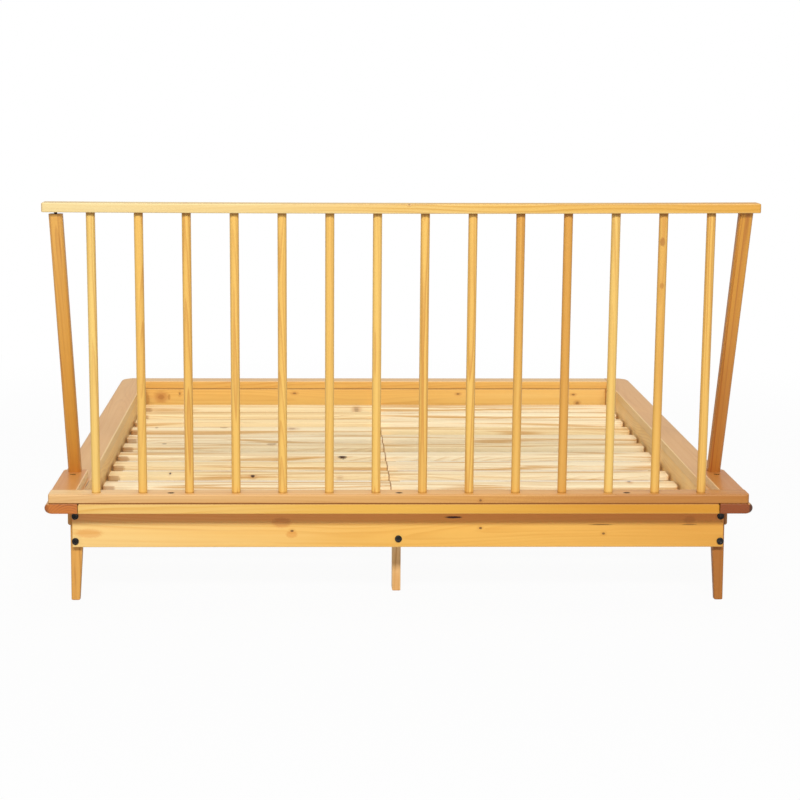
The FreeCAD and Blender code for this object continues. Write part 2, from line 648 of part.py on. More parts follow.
def build_spindles():
    """Round spindles, each seated in its socket in the base rail and entering the top rail."""
    length = f"(clear_high / cos({LEAN}) + base_socket + top_socket - fit_gap)"
    for number in range(int(size("spindle_total"))):
        label = f"spindle_{number + 1:02d}"
        spindle = Carpentry(label)
        drawing = spindle.sketch("XY")
        spindle.disc(drawing, "spindle_round")
        spindle.pad(drawing, length)
        place(spindle.body, f"({number} - (spindle_total - 1) / 2) * spindle_pitch",
              f"{HEAD} + spindle_inset + base_socket * sin({LEAN})",
              f"{BASE_TOP} - base_socket * cos({LEAN})", LEAN)
        node(spindle.body, label)


def headed(name, shank, below, head, head_high, key):
    """A screw or bolt that hangs below its round head, with a hexagon socket in the head."""
    piece = rod(name, head, head_high, HEAD_SIDES)
    piece.prism("Additive", ("0", "0", "0"), DOWN, f"{shank} / 2", below, SHANK_SIDES)
    socket = ("0", "0", head_high)
    piece.prism("Subtractive", socket, DOWN, f"{key} / sqrt(3)", "key_deep", 6)
    return piece.body


def rod(name, diameter, length, sides=SHANK_SIDES):
    """A pin, dowel or head that stands on its lower end."""
    piece = Carpentry(name)
    piece.prism("Additive", ("0", "0", "0"), UP, f"{diameter} / 2", length, sides)
    return piece


def build_bolts():
    """The frame's bolts with their barrel nuts, and the studs under the centre beam."""
    bolt = headed("frame_bolt", "bolt_shank", "bolt_long", "bolt_head", "bolt_head_high", "bolt_key")
    front = f"{HEAD} + {APRON_INNER} - rail_thick"
    back = f"{HEAD} + frame_length - {APRON_INNER} + rail_thick"
    corners = [(f"{side}{RAIL_LINE}", f"{RAIL_LOW} + {up}")
               for side in ("-", "") for up in BOLT_HEIGHTS]
    beam_up = f"{SLAT_LOW} - beam_thick / 2"
    spots = corners + [("0", beam_up)]
    group(bolt, "frame_bolts", [(TO_HEAD, across, front, up) for across, up in spots]
          + [(TO_FOOT, across, back, up) for across, up in spots])

    nut = rod("barrel_nut", "nut_round", "nut_long")
    nut.drill([("0", "-nut_round", "nut_long / 2")], TO_FOOT, "bolt_shank + fit_gap", "2 * nut_round")
    ends = (f"{HEAD} + {LEG_FACE} + nut_reach", f"{HEAD} + frame_length - {LEG_FACE} - nut_reach")
    half = "nut_long / 2"
    group(nut.body, "barrel_nuts",
          [(TO_RIGHT, f"{across} - {half}", along, up) for along in ends for across, up in corners]
          + [(UP, "0", along, f"{beam_up} - {half}") for along in ends])

    stud = rod("centre_leg_stud", "stud_round", "stud_long")
    stud_up = f"{SLAT_LOW} - beam_thick + stud_in_beam - stud_long"
    group(stud.body, "centre_leg_studs",
          [(UP, "0", f"{RING_MIDDLE} + ({along})", stud_up) for along in CENTRE_LEGS])


def build_screws():
    """The screws that hold the headboard on the ring and the ledgers on the side rails."""
    screw = headed("headboard_screw", "screw_shank", "screw_long", "screw_head",
                   "screw_head_high", "screw_key")
    seat = f"{BASE_TOP} - screw_bore_deep"
    arm_along = f"{HEAD} + board_deep + arm_screw"
    group(screw, "headboard_screws",
          [(UP, across, f"{HEAD} + screw_inset", seat) for across in BASE_SCREWS]
          + [(UP, f"{side}{ARM_LINE}", arm_along, seat) for side in ("-", "")])

    small = rod("ledger_screw", "ledger_screw_head", "ledger_head_high")
    small.prism("Additive", ("0", "0", "0"), DOWN, "ledger_screw / 2", "ledger_screw_long",
                SHANK_SIDES)
    face = f"({RAIL_FACE} - ledger_wide)"
    ledger_up = f"{SLAT_LOW} - ledger_high / 2"
    group(small.body, "ledger_screws",
          [(turn, f"{side}{face}", f"{RING_MIDDLE} + {along}", ledger_up)
           for turn, side in ((TO_RIGHT, "-"), (TO_LEFT, "")) for along in LEDGER_SCREWS])


def build_pins_and_dowels():
    """Steel pins at the posts' ends, and glued wooden dowels in the ring and the base rail."""
    pin = rod("post_pin", "pin_round", "pin_long")
    foot_along = f"{HEAD} + board_deep + arm_long - post_foot_in"
    top_along = f"{HEAD} - spindle_lean + board_deep / 2"
    ends = ((foot_along, f"{BASE_TOP} - pin_in_board"),
            (top_along, f"{TOP_LOW} + pin_in_board - pin_long"))
    group(pin.body, "post_pins",
          [(UP, f"{side}{ARM_LINE}", along, up) for side in ("-", "") for along, up in ends])

    dowel = rod("ring_dowel", "dowel_round", "dowel_long")
    up = "slab_underside + dowel_in_slab - dowel_long"
    sides = [(UP, f"{side}{RAIL_LINE}", f"{HEAD} + {along}", up)
             for side in ("-", "") for along in SIDE_DOWELS]
    lines = (f"{HEAD} + {APRON_INNER} - rail_thick / 2",
             f"{HEAD} + frame_length - {APRON_INNER} + rail_thick / 2")
    group(dowel.body, "ring_dowels",
          sides + [(UP, across, along, up) for along in lines for across in CROSS_DOWELS])

    short = rod("arm_dowel", "arm_dowel_round", "dowel_long")
    along = f"{HEAD} + board_deep - dowel_long / 2"
    group(short.body, "arm_dowels",
          [(TO_FOOT, f"{side}({ARM_LINE} + {shift})", along, f"{RING_TOP} + board_thick / 2")
           for side in ("-", "") for shift in ARM_DOWELS])


def check_and_write():
    """Stops at anything that failed; otherwise writes each sub-part to its own file."""
    document.recompute()
    for thing in document.Objects:
        if "Invalid" in thing.State or "Error" in thing.State:
            raise RuntimeError(f"{thing.Label} failed: {thing.State}")
    os.makedirs("parts", exist_ok=True)
    for thing in NODES:
        shape = thing.Shape
        if shape.isNull() or not shape.isValid() or not shape.Solids:
            raise RuntimeError(f"{thing.Label} has no valid solid")
        shape.exportStep(f"parts/{thing.Label}.step")
        box = shape.BoundBox
        print(f"{thing.Label}: {len(shape.Solids)} solid(s), "
              f"x {box.XMin:.1f} to {box.XMax:.1f}, y {box.YMin:.1f} to {box.YMax:.1f}, "
              f"z {box.ZMin:.1f} to {box.ZMax:.1f}")


fill_sheet()
build_ring()
build_rails()
build_legs()
build_supports()
build_slats()
build_headboard()
build_posts()
build_spindles()
build_bolts()
build_screws()
build_pins_and_dowels()
check_and_write()
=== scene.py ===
import logging
import math
import random
from dataclasses import dataclass
from enum import Enum, IntEnum

import bpy
import numpy as np
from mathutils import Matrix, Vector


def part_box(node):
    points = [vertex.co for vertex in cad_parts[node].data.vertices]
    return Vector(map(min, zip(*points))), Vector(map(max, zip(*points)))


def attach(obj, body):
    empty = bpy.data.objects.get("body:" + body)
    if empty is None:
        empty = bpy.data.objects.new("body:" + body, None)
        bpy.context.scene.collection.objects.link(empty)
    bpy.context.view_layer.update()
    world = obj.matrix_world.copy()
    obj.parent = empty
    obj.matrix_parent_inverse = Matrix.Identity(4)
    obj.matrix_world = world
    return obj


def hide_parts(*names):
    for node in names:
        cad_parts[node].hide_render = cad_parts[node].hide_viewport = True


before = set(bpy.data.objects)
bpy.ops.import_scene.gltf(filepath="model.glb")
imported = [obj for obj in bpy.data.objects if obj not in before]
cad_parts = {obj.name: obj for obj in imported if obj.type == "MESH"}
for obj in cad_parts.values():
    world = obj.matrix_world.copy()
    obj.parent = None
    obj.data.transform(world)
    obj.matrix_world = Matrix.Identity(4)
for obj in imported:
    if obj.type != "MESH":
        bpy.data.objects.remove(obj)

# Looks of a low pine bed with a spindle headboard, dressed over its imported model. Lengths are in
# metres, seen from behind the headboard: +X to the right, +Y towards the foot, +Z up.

LOG = logging.getLogger("bed")
MM = 0.001
SHARP_ANGLE = math.radians(32)
EASED = 0.8 * MM
LEAST_EASE = 0.6 * MM
LEAST_EDGE = 0.3 * MM
LEAST_FLAT = 0.05 * MM
Vec = tuple[float, float, float]
Edges = tuple[float, float, float, float]
Paint = tuple[float, float, float, float]


class Axis(IntEnum):
    """The bed's own directions, as indices of a point."""

    ACROSS = 0
    ALONG = 1
    UP = 2


class Slot(Enum):
    """The record's material slots that the pieces here have."""

    FINISHED = "finished_pine"
    BARE = "bare_pine"
    BLACK = "black_steel"


# Surfaces


def rounded_rings(low: np.ndarray, high: np.ndarray, radii: np.ndarray,
                  steps: int = 6) -> np.ndarray:
    """Gives one rounded rectangle for each level.

    A corner's points are its centre plus r (cos a, sin a), where a runs over that corner's
    quarter turn, and the centre is the rectangle's corner moved in by r both ways.

    Args:
        low: Lower corners, one row for each level.
        high: Upper corners, one row for each level.
        radii: Four corner radii for each level, counterclockwise from the (high, high) corner.
        steps: Divisions of a quarter turn.

    Returns:
        Points of shape (levels, 4 * (steps + 1), 2), counterclockwise.
    """
    quarter = np.linspace(0.0, math.pi / 2, steps + 1)
    angles = quarter[None, :] + (math.pi / 2) * np.arange(4)[:, None]
    signs = np.array([[1, 1], [-1, 1], [-1, -1], [1, -1]], float)
    corners = np.where(signs[None] > 0, high[:, None, :], low[:, None, :])
    centres = corners - signs[None] * radii[:, :, None]
    unit = np.stack([np.cos(angles), np.sin(angles)], axis=-1)
    points = centres[:, :, None, :] + radii[:, :, None, None] * unit[None]
    return points.reshape(len(low), -1, 2)


def quarter_inset(depth: np.ndarray, radius: float) -> np.ndarray:
    """Gives a rounded corner's inset at a depth d from the end: r - sqrt(r^2 - (r - d)^2)."""
    short = np.clip(radius - depth, 0.0, radius)
    return radius - np.sqrt(np.maximum(radius**2 - short**2, 0.0))


def end_levels(radii: tuple[float, ...], steps: int = 6) -> np.ndarray:
    """Gives depths from a board's end at which its rounded corners are cut.

    For a radius r they are r (1 - cos t), with t in equal steps of a quarter turn.

    Args:
        radii: The radii of the corners at that end.
        steps: Divisions of a quarter turn.

    Returns:
        Sorted depths with no repeats.
    """
    turn = np.linspace(0.0, math.pi / 2, steps + 1)
    depths = np.concatenate([radius * (1 - np.cos(turn)) for radius in radii])
    return np.unique(np.round(depths, 6))


def skin(rings: np.ndarray, start: int = 0) -> tuple[np.ndarray, list[list[int]]]:
    """Closes a stack of rings into a shell of quads with a flat cap at each end.

    Quad (i, j) joins points j and j + 1 of ring i to the same points of ring i + 1.

    Args:
        rings: Points of shape (levels, points, 3), counterclockwise seen from the last level.
        start: The index of the first vertex.

    Returns:
        The vertices, and the faces as lists of vertex numbers.
    """
    levels, count, _ = rings.shape
    index = start + np.arange(levels * count).reshape(levels, count)
    beside = np.roll(index, -1, axis=1)
    quads = np.stack([index[:-1], beside[:-1], beside[1:], index[1:]], axis=-1).reshape(-1, 4)
    faces = quads.tolist() + [index[0, ::-1].tolist(), index[-1].tolist()]
    return rings.reshape(-1, 3), faces


@dataclass(frozen=True)
class Corners:
    """Radii of the corners of a board's face, low side first, at its start and its end."""

    start_low: float = EASED
    start_high: float = EASED
    end_low: float = EASED
    end_high: float = EASED

    @classmethod
    def all(cls, radius: float) -> "Corners":
        """Gives the same radius at every corner."""
        return cls(radius, radius, radius, radius)


@dataclass(frozen=True)
class Grain:
    """How the wood runs through a part: its middle, and the directions of face, depth and grain."""

    middle: Vec
    face: Vec
    depth: Vec
    grain: Vec
    half: Vec
    seed: int
    tone: float

    def local(self, points: np.ndarray) -> np.ndarray:
        """Gives points as distances from the middle over the face, through it and along it."""
        basis = np.array([self.face, self.depth, self.grain])
        return (points - np.array(self.middle)) @ basis.T

    def log_shift(self) -> np.ndarray:
        """Gives the place in the log, which is the same at every run."""
        draw = random.Random(self.seed)
        return np.array([draw.uniform(-9, 9) for _ in range(3)])


@dataclass(frozen=True)
class Part:
    """A closed shell with its grain, several of which may make one piece."""

    rings: np.ndarray
    grain: Grain


@dataclass(frozen=True)
class Plank:
    """A straight board that fills a box: its grain, its face, and how its edges are eased."""

    low: Vec
    high: Vec
    grain: Axis
    width: Axis
    edges: Edges
    corners: Corners = Corners()
    spans: int = 2

    @classmethod
    def of_node(cls, node: str, grain: Axis, width: Axis, edges: Edges,
                corners: Corners = Corners(), spans: int = 2) -> "Plank":
        """Gives a board that fills a node's box; its edges go counterclockwise about the grain."""
        low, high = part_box(node)
        return cls(tuple(low), tuple(high), grain, width, edges, corners, spans)

    def part(self, seed: int, tone: float) -> Part:
        """Makes the board's shell, with its grain read off the board.

        Args:
            seed: A number that picks where in the log the board was cut.
            tone: From 0, pale, to 1, deep.

        Returns:
            The board as a part.
        """
        low, high = np.array(self.low), np.array(self.high)
        order = [self.width, 3 - self.grain - self.width, self.grain]
        face, depth, along = (tuple(row) for row in np.eye(3)[order])
        half = tuple(((high - low) / 2)[order])
        grain = Grain(tuple((low + high) / 2), face, depth, along, half, seed, tone)
        return Part(self.rings(), grain)

    def rings(self) -> np.ndarray:
        """Works out the board as rounded rectangles carried along its grain.

        At each level the face's sides move in by the rounded corners' insets, and the thickness
        by a small one, so that the ends are eased all round.

        Returns:
            Points of shape (levels, points, 3).
        """
        along = int(self.grain)
        first, second = (along + 1) % 3, (along + 2) % 3
        length = self.high[along] - self.low[along]
        ease = max(min(self.edges), LEAST_EASE)
        at = self.corners
        start = end_levels((at.start_low, at.start_high, ease))
        end = length - end_levels((at.end_low, at.end_high, ease))
        body = np.linspace(start.max() + 1 * MM, end.min() - 1 * MM, self.spans + 1)
        depth = np.unique(np.concatenate([start, body, end]))
        rest = length - depth
        low = np.tile([self.low[first], self.low[second]], (len(depth), 1))
        high = np.tile([self.high[first], self.high[second]], (len(depth), 1))
        face = 0 if int(self.width) == first else 1
        low[:, face] += quarter_inset(depth, at.start_low)
        low[:, face] += quarter_inset(rest, at.end_low)
        high[:, face] -= quarter_inset(depth, at.start_high)
        high[:, face] -= quarter_inset(rest, at.end_high)
        trim = quarter_inset(depth, ease) + quarter_inset(rest, ease)
        low[:, 1 - face] += trim
        high[:, 1 - face] -= trim
        room = (high - low).min(axis=1) / 2 - LEAST_FLAT
        radii = np.minimum(np.maximum(self.edges, LEAST_EDGE)[None], room[:, None])
        flat = rounded_rings(low, high, radii)
        rings = np.empty(flat.shape[:2] + (3,))
        rings[..., first] = flat[..., 0]
        rings[..., second] = flat[..., 1]
        rings[..., along] = (self.low[along] + depth)[:, None]
        return rings


def slanted(ring: np.ndarray, low: Vec, high: Vec, levels: np.ndarray) -> np.ndarray:
    """Carries a flat outline from one point to another without turning it.

    Each level is the outline plus the point that far along the straight line between the two.

    Args:
        ring: The outline's points, of shape (points, 2), across and along the bed.
        low: The middle of the lowest level.
        high: The middle of the highest level.
        levels: Shares of the way up.

    Returns:
        Points of shape (levels, points, 3).
    """
    flat = np.concatenate([ring, np.zeros((len(ring), 1))], axis=1)
    centre = np.array(low) + levels[:, None] * (np.array(high) - np.array(low))
    return centre[:, None, :] + flat[None]


def circle(radius: float, count: int) -> np.ndarray:
    """Gives a circle's points, r (cos a, sin a), counterclockwise."""
    turn = np.linspace(0.0, 2 * math.pi, count, endpoint=False)
    return radius * np.stack([np.cos(turn), np.sin(turn)], axis=-1)


def hexagon(across_flats: float, count: int) -> np.ndarray:
    """Gives a hexagon's points, r (cos a, sin a).

    There r is half the width over flats divided by the cosine of the angle from the nearest flat.

    Args:
        across_flats: The width over flats.
        count: How many points.

    Returns:
        Points of shape (count, 2).
    """
    turn = np.linspace(0.0, 2 * math.pi, count, endpoint=False)
    off = (turn + math.pi / 6) % (math.pi / 3) - math.pi / 6
    return (across_flats / 2 / np.cos(off))[:, None] * circle(1.0, count)


# Shader building


class Wire:
    """A socket of a material's node tree, with arithmetic that adds Math nodes."""

    def __init__(self, desk: "Desk", socket: bpy.types.NodeSocket) -> None:
        """Keeps the socket and the desk that it is on."""
        self.desk = desk
        self.socket = socket

    def __add__(self, other: "Wire | float") -> "Wire":
        """Adds."""
        return self.desk.maths("ADD", self, other)

    __radd__ = __add__

    def __sub__(self, other: "Wire | float") -> "Wire":
        """Takes away."""
        return self.desk.maths("SUBTRACT", self, other)

    def __rsub__(self, other: float) -> "Wire":
        """Takes this away from a number."""
        return self.desk.maths("SUBTRACT", other, self)

    def __mul__(self, other: "Wire | float") -> "Wire":
        """Multiplies."""
        return self.desk.maths("MULTIPLY", self, other)

    __rmul__ = __mul__

    def __truediv__(self, other: "Wire | float") -> "Wire":
        """Divides."""
        return self.desk.maths("DIVIDE", self, other)

    def __pow__(self, other: float) -> "Wire":
        """Raises to a power."""
        return self.desk.maths("POWER", self, other)

    def __abs__(self) -> "Wire":
        """Drops the sign."""
        return self.desk.maths("ABSOLUTE", self)


class Desk:
    """A new node tree, on which finishes are written as expressions."""

    def __init__(self, tree: bpy.types.NodeTree, owner: bpy.types.ID) -> None:
        """Clears a tree to work on.

        Args:
            tree: The node tree.
            owner: The material or world that it belongs to.
        """
        self.tree = tree
        self.owner = owner
        self.tree.nodes.clear()

    @classmethod
    def material(cls, name: str) -> "Desk":
        """Makes a new node material."""
        made = bpy.data.materials.new(name)
        made.use_nodes = True
        return cls(made.node_tree, made)

    def node(self, kind: str, settings: dict | None = None, inputs: dict | None = None,
             out: int | str = 0) -> Wire | None:
        """Adds any node.

        Args:
            kind: The node's type.
            settings: Its own properties, set first.
            inputs: Values or wires by socket name or number.
            out: Which output to give back.

        Returns:
            The wanted output, or nothing from a node that has none.
        """
        made = self.tree.nodes.new(kind)
        for key, value in (settings or {}).items():
            setattr(made, key, value)
        for key, value in (inputs or {}).items():
            if isinstance(value, Wire):
                self.tree.links.new(value.socket, made.inputs[key])
            else:
                made.inputs[key].default_value = value
        return Wire(self, made.outputs[out]) if made.outputs else None

    def maths(self, operation: str, first: Wire | float, second: Wire | float = 0.0) -> Wire:
        """Adds a Math node on one value or two."""
        return self.node("ShaderNodeMath", {"operation": operation}, {0: first, 1: second})

    def vector(self, operation: str, first: Wire | Vec, second: Wire | Vec) -> Wire:
        """Adds a Vector Math node on two vectors."""
        return self.node("ShaderNodeVectorMath", {"operation": operation}, {0: first, 1: second})

    def length(self, vector: Wire) -> Wire:
        """Gives a vector's length."""
        return self.node("ShaderNodeVectorMath", {"operation": "LENGTH"}, {0: vector}, 1)

    def place(self) -> Wire:
        """Gives the point's coordinates on the bed."""
        return self.node("ShaderNodeTexCoord", None, None, "Object")

    def split(self, vector: Wire) -> tuple[Wire, Wire, Wire]:
        """Gives a vector's three parts."""
        made = self.node("ShaderNodeSeparateXYZ", None, {0: vector}).socket.node
        return tuple(Wire(self, made.outputs[part]) for part in range(3))

    def noise(self, vector: Wire, stretch: Vec, detail: float = 2.0) -> Wire:
        """Gives a noise from about 0.2 to 0.8, with so many repeats for each metre."""
        placed = self.vector("MULTIPLY", vector, stretch)
        return self.node("ShaderNodeTexNoise", None,
                         {"Vector": placed, "Scale": 1.0, "Detail": detail, "Roughness": 0.55})

    def step(self, value: Wire | float, low: float, high: float) -> Wire:
        """Rises smoothly from 0 at low to 1 at high, or falls where high is below low."""
        made = self.node("ShaderNodeMapRange", {"interpolation_type": "SMOOTHSTEP"},
                         {"Value": value, "From Min": min(low, high), "From Max": max(low, high)})
        return 1 - made if low > high else made

    def blend(self, share: Wire | float, first: Wire | Paint, second: Wire | Paint) -> Wire:
        """Mixes two colours, from the first at a share of 0 to the second at 1."""
        return self.node("ShaderNodeMix", {"data_type": "RGBA"}, {0: share, 6: first, 7: second}, 2)

    def attribute(self, name: str, out: str = "Vector") -> Wire:
        """Reads an attribute of the piece."""
        return self.node("ShaderNodeAttribute", {"attribute_name": name}, None, out)

    def finish(self, **inputs: Wire | float | tuple) -> bpy.types.Material:
        """Adds the surface shader and the output.

        Args:
            inputs: The shader's sockets, with underscores for spaces.

        Returns:
            The finished material.
        """
        named = {key.replace("_", " "): value for key, value in inputs.items()}
        surface = self.node("ShaderNodeBsdfPrincipled", None, named)
        self.node("ShaderNodeOutputMaterial", None, {"Surface": surface})
        return self.owner


def linear(code: str) -> Paint:
    """Turns six hexadecimal digits into the linear colour that shaders use."""
    # Each channel c becomes ((c + 0.055) / 1.055)^2.4, or c / 12.92 where it is dark.
    parts = [int(code[at:at + 2], 16) / 255 for at in (0, 2, 4)]
    return (*(c / 12.92 if c <= 0.04045 else ((c + 0.055) / 1.055) ** 2.4 for c in parts), 1.0)


@dataclass(frozen=True)
class KnotOrPaintedLight:
    """A knot, crack or patch of other wood, or a patch of painted light or shade: an ellipsoid on
    the bed's axes.

    Inside it the wood has a share of the mark's colour. The ring is a weaker stain round it.
    """

    at: Vec
    reach: Vec
    share: float = 0.8
    ring: float = 0.45
    colour: str = "3A1A0A"


def marks(y: float, deep: float, *rows: tuple) -> tuple[KnotOrPaintedLight, ...]:
    """Gives knots, cracks and patches of painted light or shade that lie at one place along the
    bed.

    Args:
        y: That place.
        deep: How far each reaches along the bed.
        rows: For each its x and z, its reach across and up, and then the rest of a mark.

    Returns:
        The marks.
    """
    return tuple(KnotOrPaintedLight((x, y, z), (wide, deep, high), *rest) for x, z, wide, high, *rest in rows)


RING_BACK = -1.081
APRON_BACK = -1.023
FOOT_APRON_INNER = 1.051
SLAT_TOP = 0.185
SCREW_PLACES = (-0.549, 0.0, 0.549)
SCREW_INSET = 0.024
ARM_SCREW_INSET = 0.208
ARM_SCREW_PLACES = (-0.8105, 0.8105)
ARM_INNER = (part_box("headboard_arm_left")[1][0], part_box("headboard_arm_right")[0][0])
SLAT_FRONTS = tuple(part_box(f"slat_row_{row:02d}")[0][1] for row in range(1, 14))

# Marks laid on the wood: knots, cracks, joint lines and patches of other wood, and also painted
# light and shade. The painted shade is dark in counterbores, bands under the rails and the ring and
# beside joints, and deeper tints on whole outer faces at the head; the painted light is pale strips
# and a highlight.
# A dark joint line between the base rail and the ring, with the crevice's shade painted into it.
SEAM_AND_PAINTED_SHADE = KnotOrPaintedLight((0.0, RING_BACK, 0.255), (2.4, 0.006, 0.0024), 0.9, 0.0, "8A4E18")
HEAD_APRON_KNOTS_AND_PAINTED_SHADE = marks(
    APRON_BACK, 0.01,
    # Painted shade: the apron's outer face alone gets a deeper, warmer tint than its other faces.
    (0.0, 0.183, 4.0, 0.2, 0.35, 0.0, "D39D38"),
    # Painted shadow: a warm dark band along the top of the outer face, where the ring shades it.
    (0.0, 0.229, 4.0, 0.037, 0.42, 0.0, "F78B48"),
    (-0.7505, 0.1705, 0.036, 0.013, 0.42, 0.0, "D0883A"),
    (-0.2592, 0.168, 0.016, 0.01, 0.45, 0.0, "CC7F2E"),
    (0.134, 0.2101, 0.024, 0.003, 1.0, 0.0),
    (-0.2841, 0.197, 0.027, 0.014, 0.4, 0.0, "B8682F"),
    (-0.2585, 0.1765, 0.0045, 0.003, 0.75, 0.3),
    (0.1995, 0.1834, 0.004, 0.003, 0.8, 0.3),
    (0.4925, 0.1918, 0.032, 0.0014, 0.7, 0.0),
    (0.4992, 0.1694, 0.004, 0.003, 0.7, 0.3),
    (0.7085, 0.1915, 0.02, 0.0014, 0.6, 0.0),
    (0.7085, 0.203, 0.016, 0.012, 0.35, 0.0, "B06A30"))
FOOT_APRON_KNOTS_AND_PAINTED_SHADE = marks(
    FOOT_APRON_INNER, 0.01,
    (-0.7153, 0.2022, 0.012, 0.009, 0.45, 0.55, "A05A20"),
    (-0.6887, 0.2021, 0.005, 0.012, 0.45, 0.0, "B0702C"),
    (-0.768, 0.1935, 0.016, 0.03, 0.4, 0.0, "A8642A"),
    (-0.6531, 0.2135, 0.003, 0.005, 0.5, 0.3),
    (-0.2713, 0.2147, 0.007, 0.003, 0.5, 0.4),
    (0.2745, 0.2126, 0.006, 0.003, 0.55, 0.4),
    (0.6596, 0.2105, 0.006, 0.003, 0.55, 0.4),
    (0.6737, 0.1818, 0.006, 0.005, 0.4, 0.5),
# Painted shade: a dark line along the top of the apron's inner face, under the foot board.
) + marks(FOOT_APRON_INNER, 0.02, (0.0, 0.231, 1.6, 0.004, 0.5, 0.0, "9A6428"))
# Painted shade: the head board's outer face alone gets a deeper tint. Then the joint line, and dark
# cracks at the joints with the side boards.
HEAD_SLAB_JOINTS_AND_PAINTED_SHADE = marks(
    RING_BACK, 0.01, (0.0, 0.2425, 4.0, 0.04, 0.4, 0.0, "CB9B19")) + (SEAM_AND_PAINTED_SHADE,) + marks(
    RING_BACK, 0.03,
    (-0.772, 0.243, 0.0016, 0.014, 0.75, 0.0),
    (-0.772, 0.253, 0.004, 0.004, 0.9, 0.0),
    (0.772, 0.243, 0.0024, 0.014, 0.75, 0.0),
    (0.772, 0.253, 0.005, 0.004, 0.9, 0.0))
# Painted light and shade: a pale highlight along the foot board's top edge, and a dark line along
# its lower inner edge.
FOOT_SLAB_PAINTED_LIGHT_AND_SHADE = (
    marks(1.09, 0.06, (0.0, 0.2555, 3.0, 0.003, 0.4, 0.0, "F0D2B0"))
    + marks(1.049, 0.03, (0.0, 0.2295, 1.6, 0.003, 0.5, 0.0, "9A6428")))
SIDE_PAINTED_LIGHT_SHADE_AND_MARKS = (
    # Painted light: pale strips along the side boards' inner edges and faces.
    marks(0.03, 1.05, *((x, 0.24, 0.005, 0.04, 0.6, 0.0, "FFE0A4") for x in (-0.772, 0.772)))
    # The joint line, and a dark slit of painted shade along the left board's inner edge.
    + (SEAM_AND_PAINTED_SHADE, KnotOrPaintedLight((-0.774, -0.823, 0.255), (0.0014, 0.06, 0.004), 0.7, 0.0))
    + marks(-1.076, 0.01, (-0.846, 0.2425, 0.0075, 0.02, 0.45, 0.0, "8A4A1E"),
            (0.848, 0.2425, 0.008, 0.02, 0.75, 0.0, "3A2418")))
BASE_RAIL_KNOTS_AND_PAINTED_SHADE = (
    (SEAM_AND_PAINTED_SHADE,)
    # Painted shade: the outer face alone is darker than the top. It is darker again towards the
    # right end.
    + marks(RING_BACK, 0.005, (0.0, 0.266, 4.0, 0.04, 0.42, 0.0, "A06519"),
            (1.1, 0.266, 0.9, 0.04, 0.35, 0.0, "9A5A20"))
    + marks(RING_BACK, 0.01, (0.1946, 0.2629, 0.004, 0.003, 0.6, 0.3))
    # Painted shade: dark in the screws' counterbores.
    + marks(-1.057, 0.0098, *((x, 0.277, 0.0098, 0.009, 1.0, 0.0) for x in SCREW_PLACES)))
ARM_PAINTED_LIGHT_AND_SHADE = (
    # Painted shade: dark in the screws' counterbores.
    marks(-0.808, 0.0085, *((x, 0.277, 0.0085, 0.009, 0.9, 0.0) for x in ARM_SCREW_PLACES))
    # Painted light: pale strips along the arms' inner faces.
    + marks(-0.87, 0.4, *((x, 0.264, 0.004, 0.04, 0.75, 0.0, "F6D29A") for x in ARM_INNER)))
TOP_RAIL_KNOTS = (
    marks(-1.1, 0.04, (-0.5073, 0.981, 0.003, 0.003, 0.5, 0.3))
    + marks(-1.129, 0.01, (0.0168, 0.9745, 0.003, 0.0025, 0.5, 0.3)))
SPINDLE_KNOTS_AND_PAINTED_SHADE = (
    # Painted shade: dark bands round the spindles and posts just under the top rail and just above
    # the base rail.
    marks(-1.1, 0.1, (0.0, 0.955, 1.5, 0.0085, 0.55, 0.0, "8A5018"))
    + marks(-1.055, 0.1, (0.0, 0.277, 1.5, 0.0045, 0.4, 0.0, "8A5018"))
    + marks(-1.11, 0.012, (0.6142, 0.886, 0.007, 0.012, 0.6, 0.0, "9A5A24"))
    + marks(-1.1, 0.012, (0.6164, 0.782, 0.006, 0.008, 0.5, 0.0, "A86A2C")))
# Painted shade on each slat's front edge at its left end, where the side board shades it; then the
# slats' knots.
SLAT_KNOTS_AND_PAINTED_SHADE = tuple(
    KnotOrPaintedLight((-0.755, y, 0.178), (0.022, 0.006, 0.02), 0.55, 0.0, "A8703A") for y in SLAT_FRONTS
) + tuple(KnotOrPaintedLight((x, y, SLAT_TOP), (wide, deep, high), *rest)
          for x, y, wide, deep, high, *rest in (
              (-0.6004, -0.2882, 0.0032, 0.016, 0.02, 0.95, 0.15),
              (-0.3728, -0.32, 0.0065, 0.012, 0.006, 0.95, 0.25),
              (-0.1351, -0.335, 0.0055, 0.011, 0.02, 0.95, 0.25),
              (-0.1243, -0.0296, 0.018, 0.03, 0.01, 1.0, 0.0),
              (-0.274, 0.4888, 0.012, 0.014, 0.02, 0.5, 0.3, "8A5A2C"),
              (-0.6492, 0.2077, 0.008, 0.012, 0.02, 0.6, 0.0, "7A5428"),
              (-0.3317, 0.2033, 0.016, 0.03, 0.02, 0.5, 0.0, "9A6A34"),
              (-0.4854, 0.5167, 0.014, 0.02, 0.02, 0.5, 0.0, "9A6A34"),
              (-0.6927, 0.5096, 0.006, 0.016, 0.02, 0.5, 0.0, "8A5A2C"),
              (-0.0667, 0.9191, 0.008, 0.02, 0.02, 0.3, 0.4),
              (0.6453, -0.4042, 0.005, 0.02, 0.02, 0.6, 0.35)))


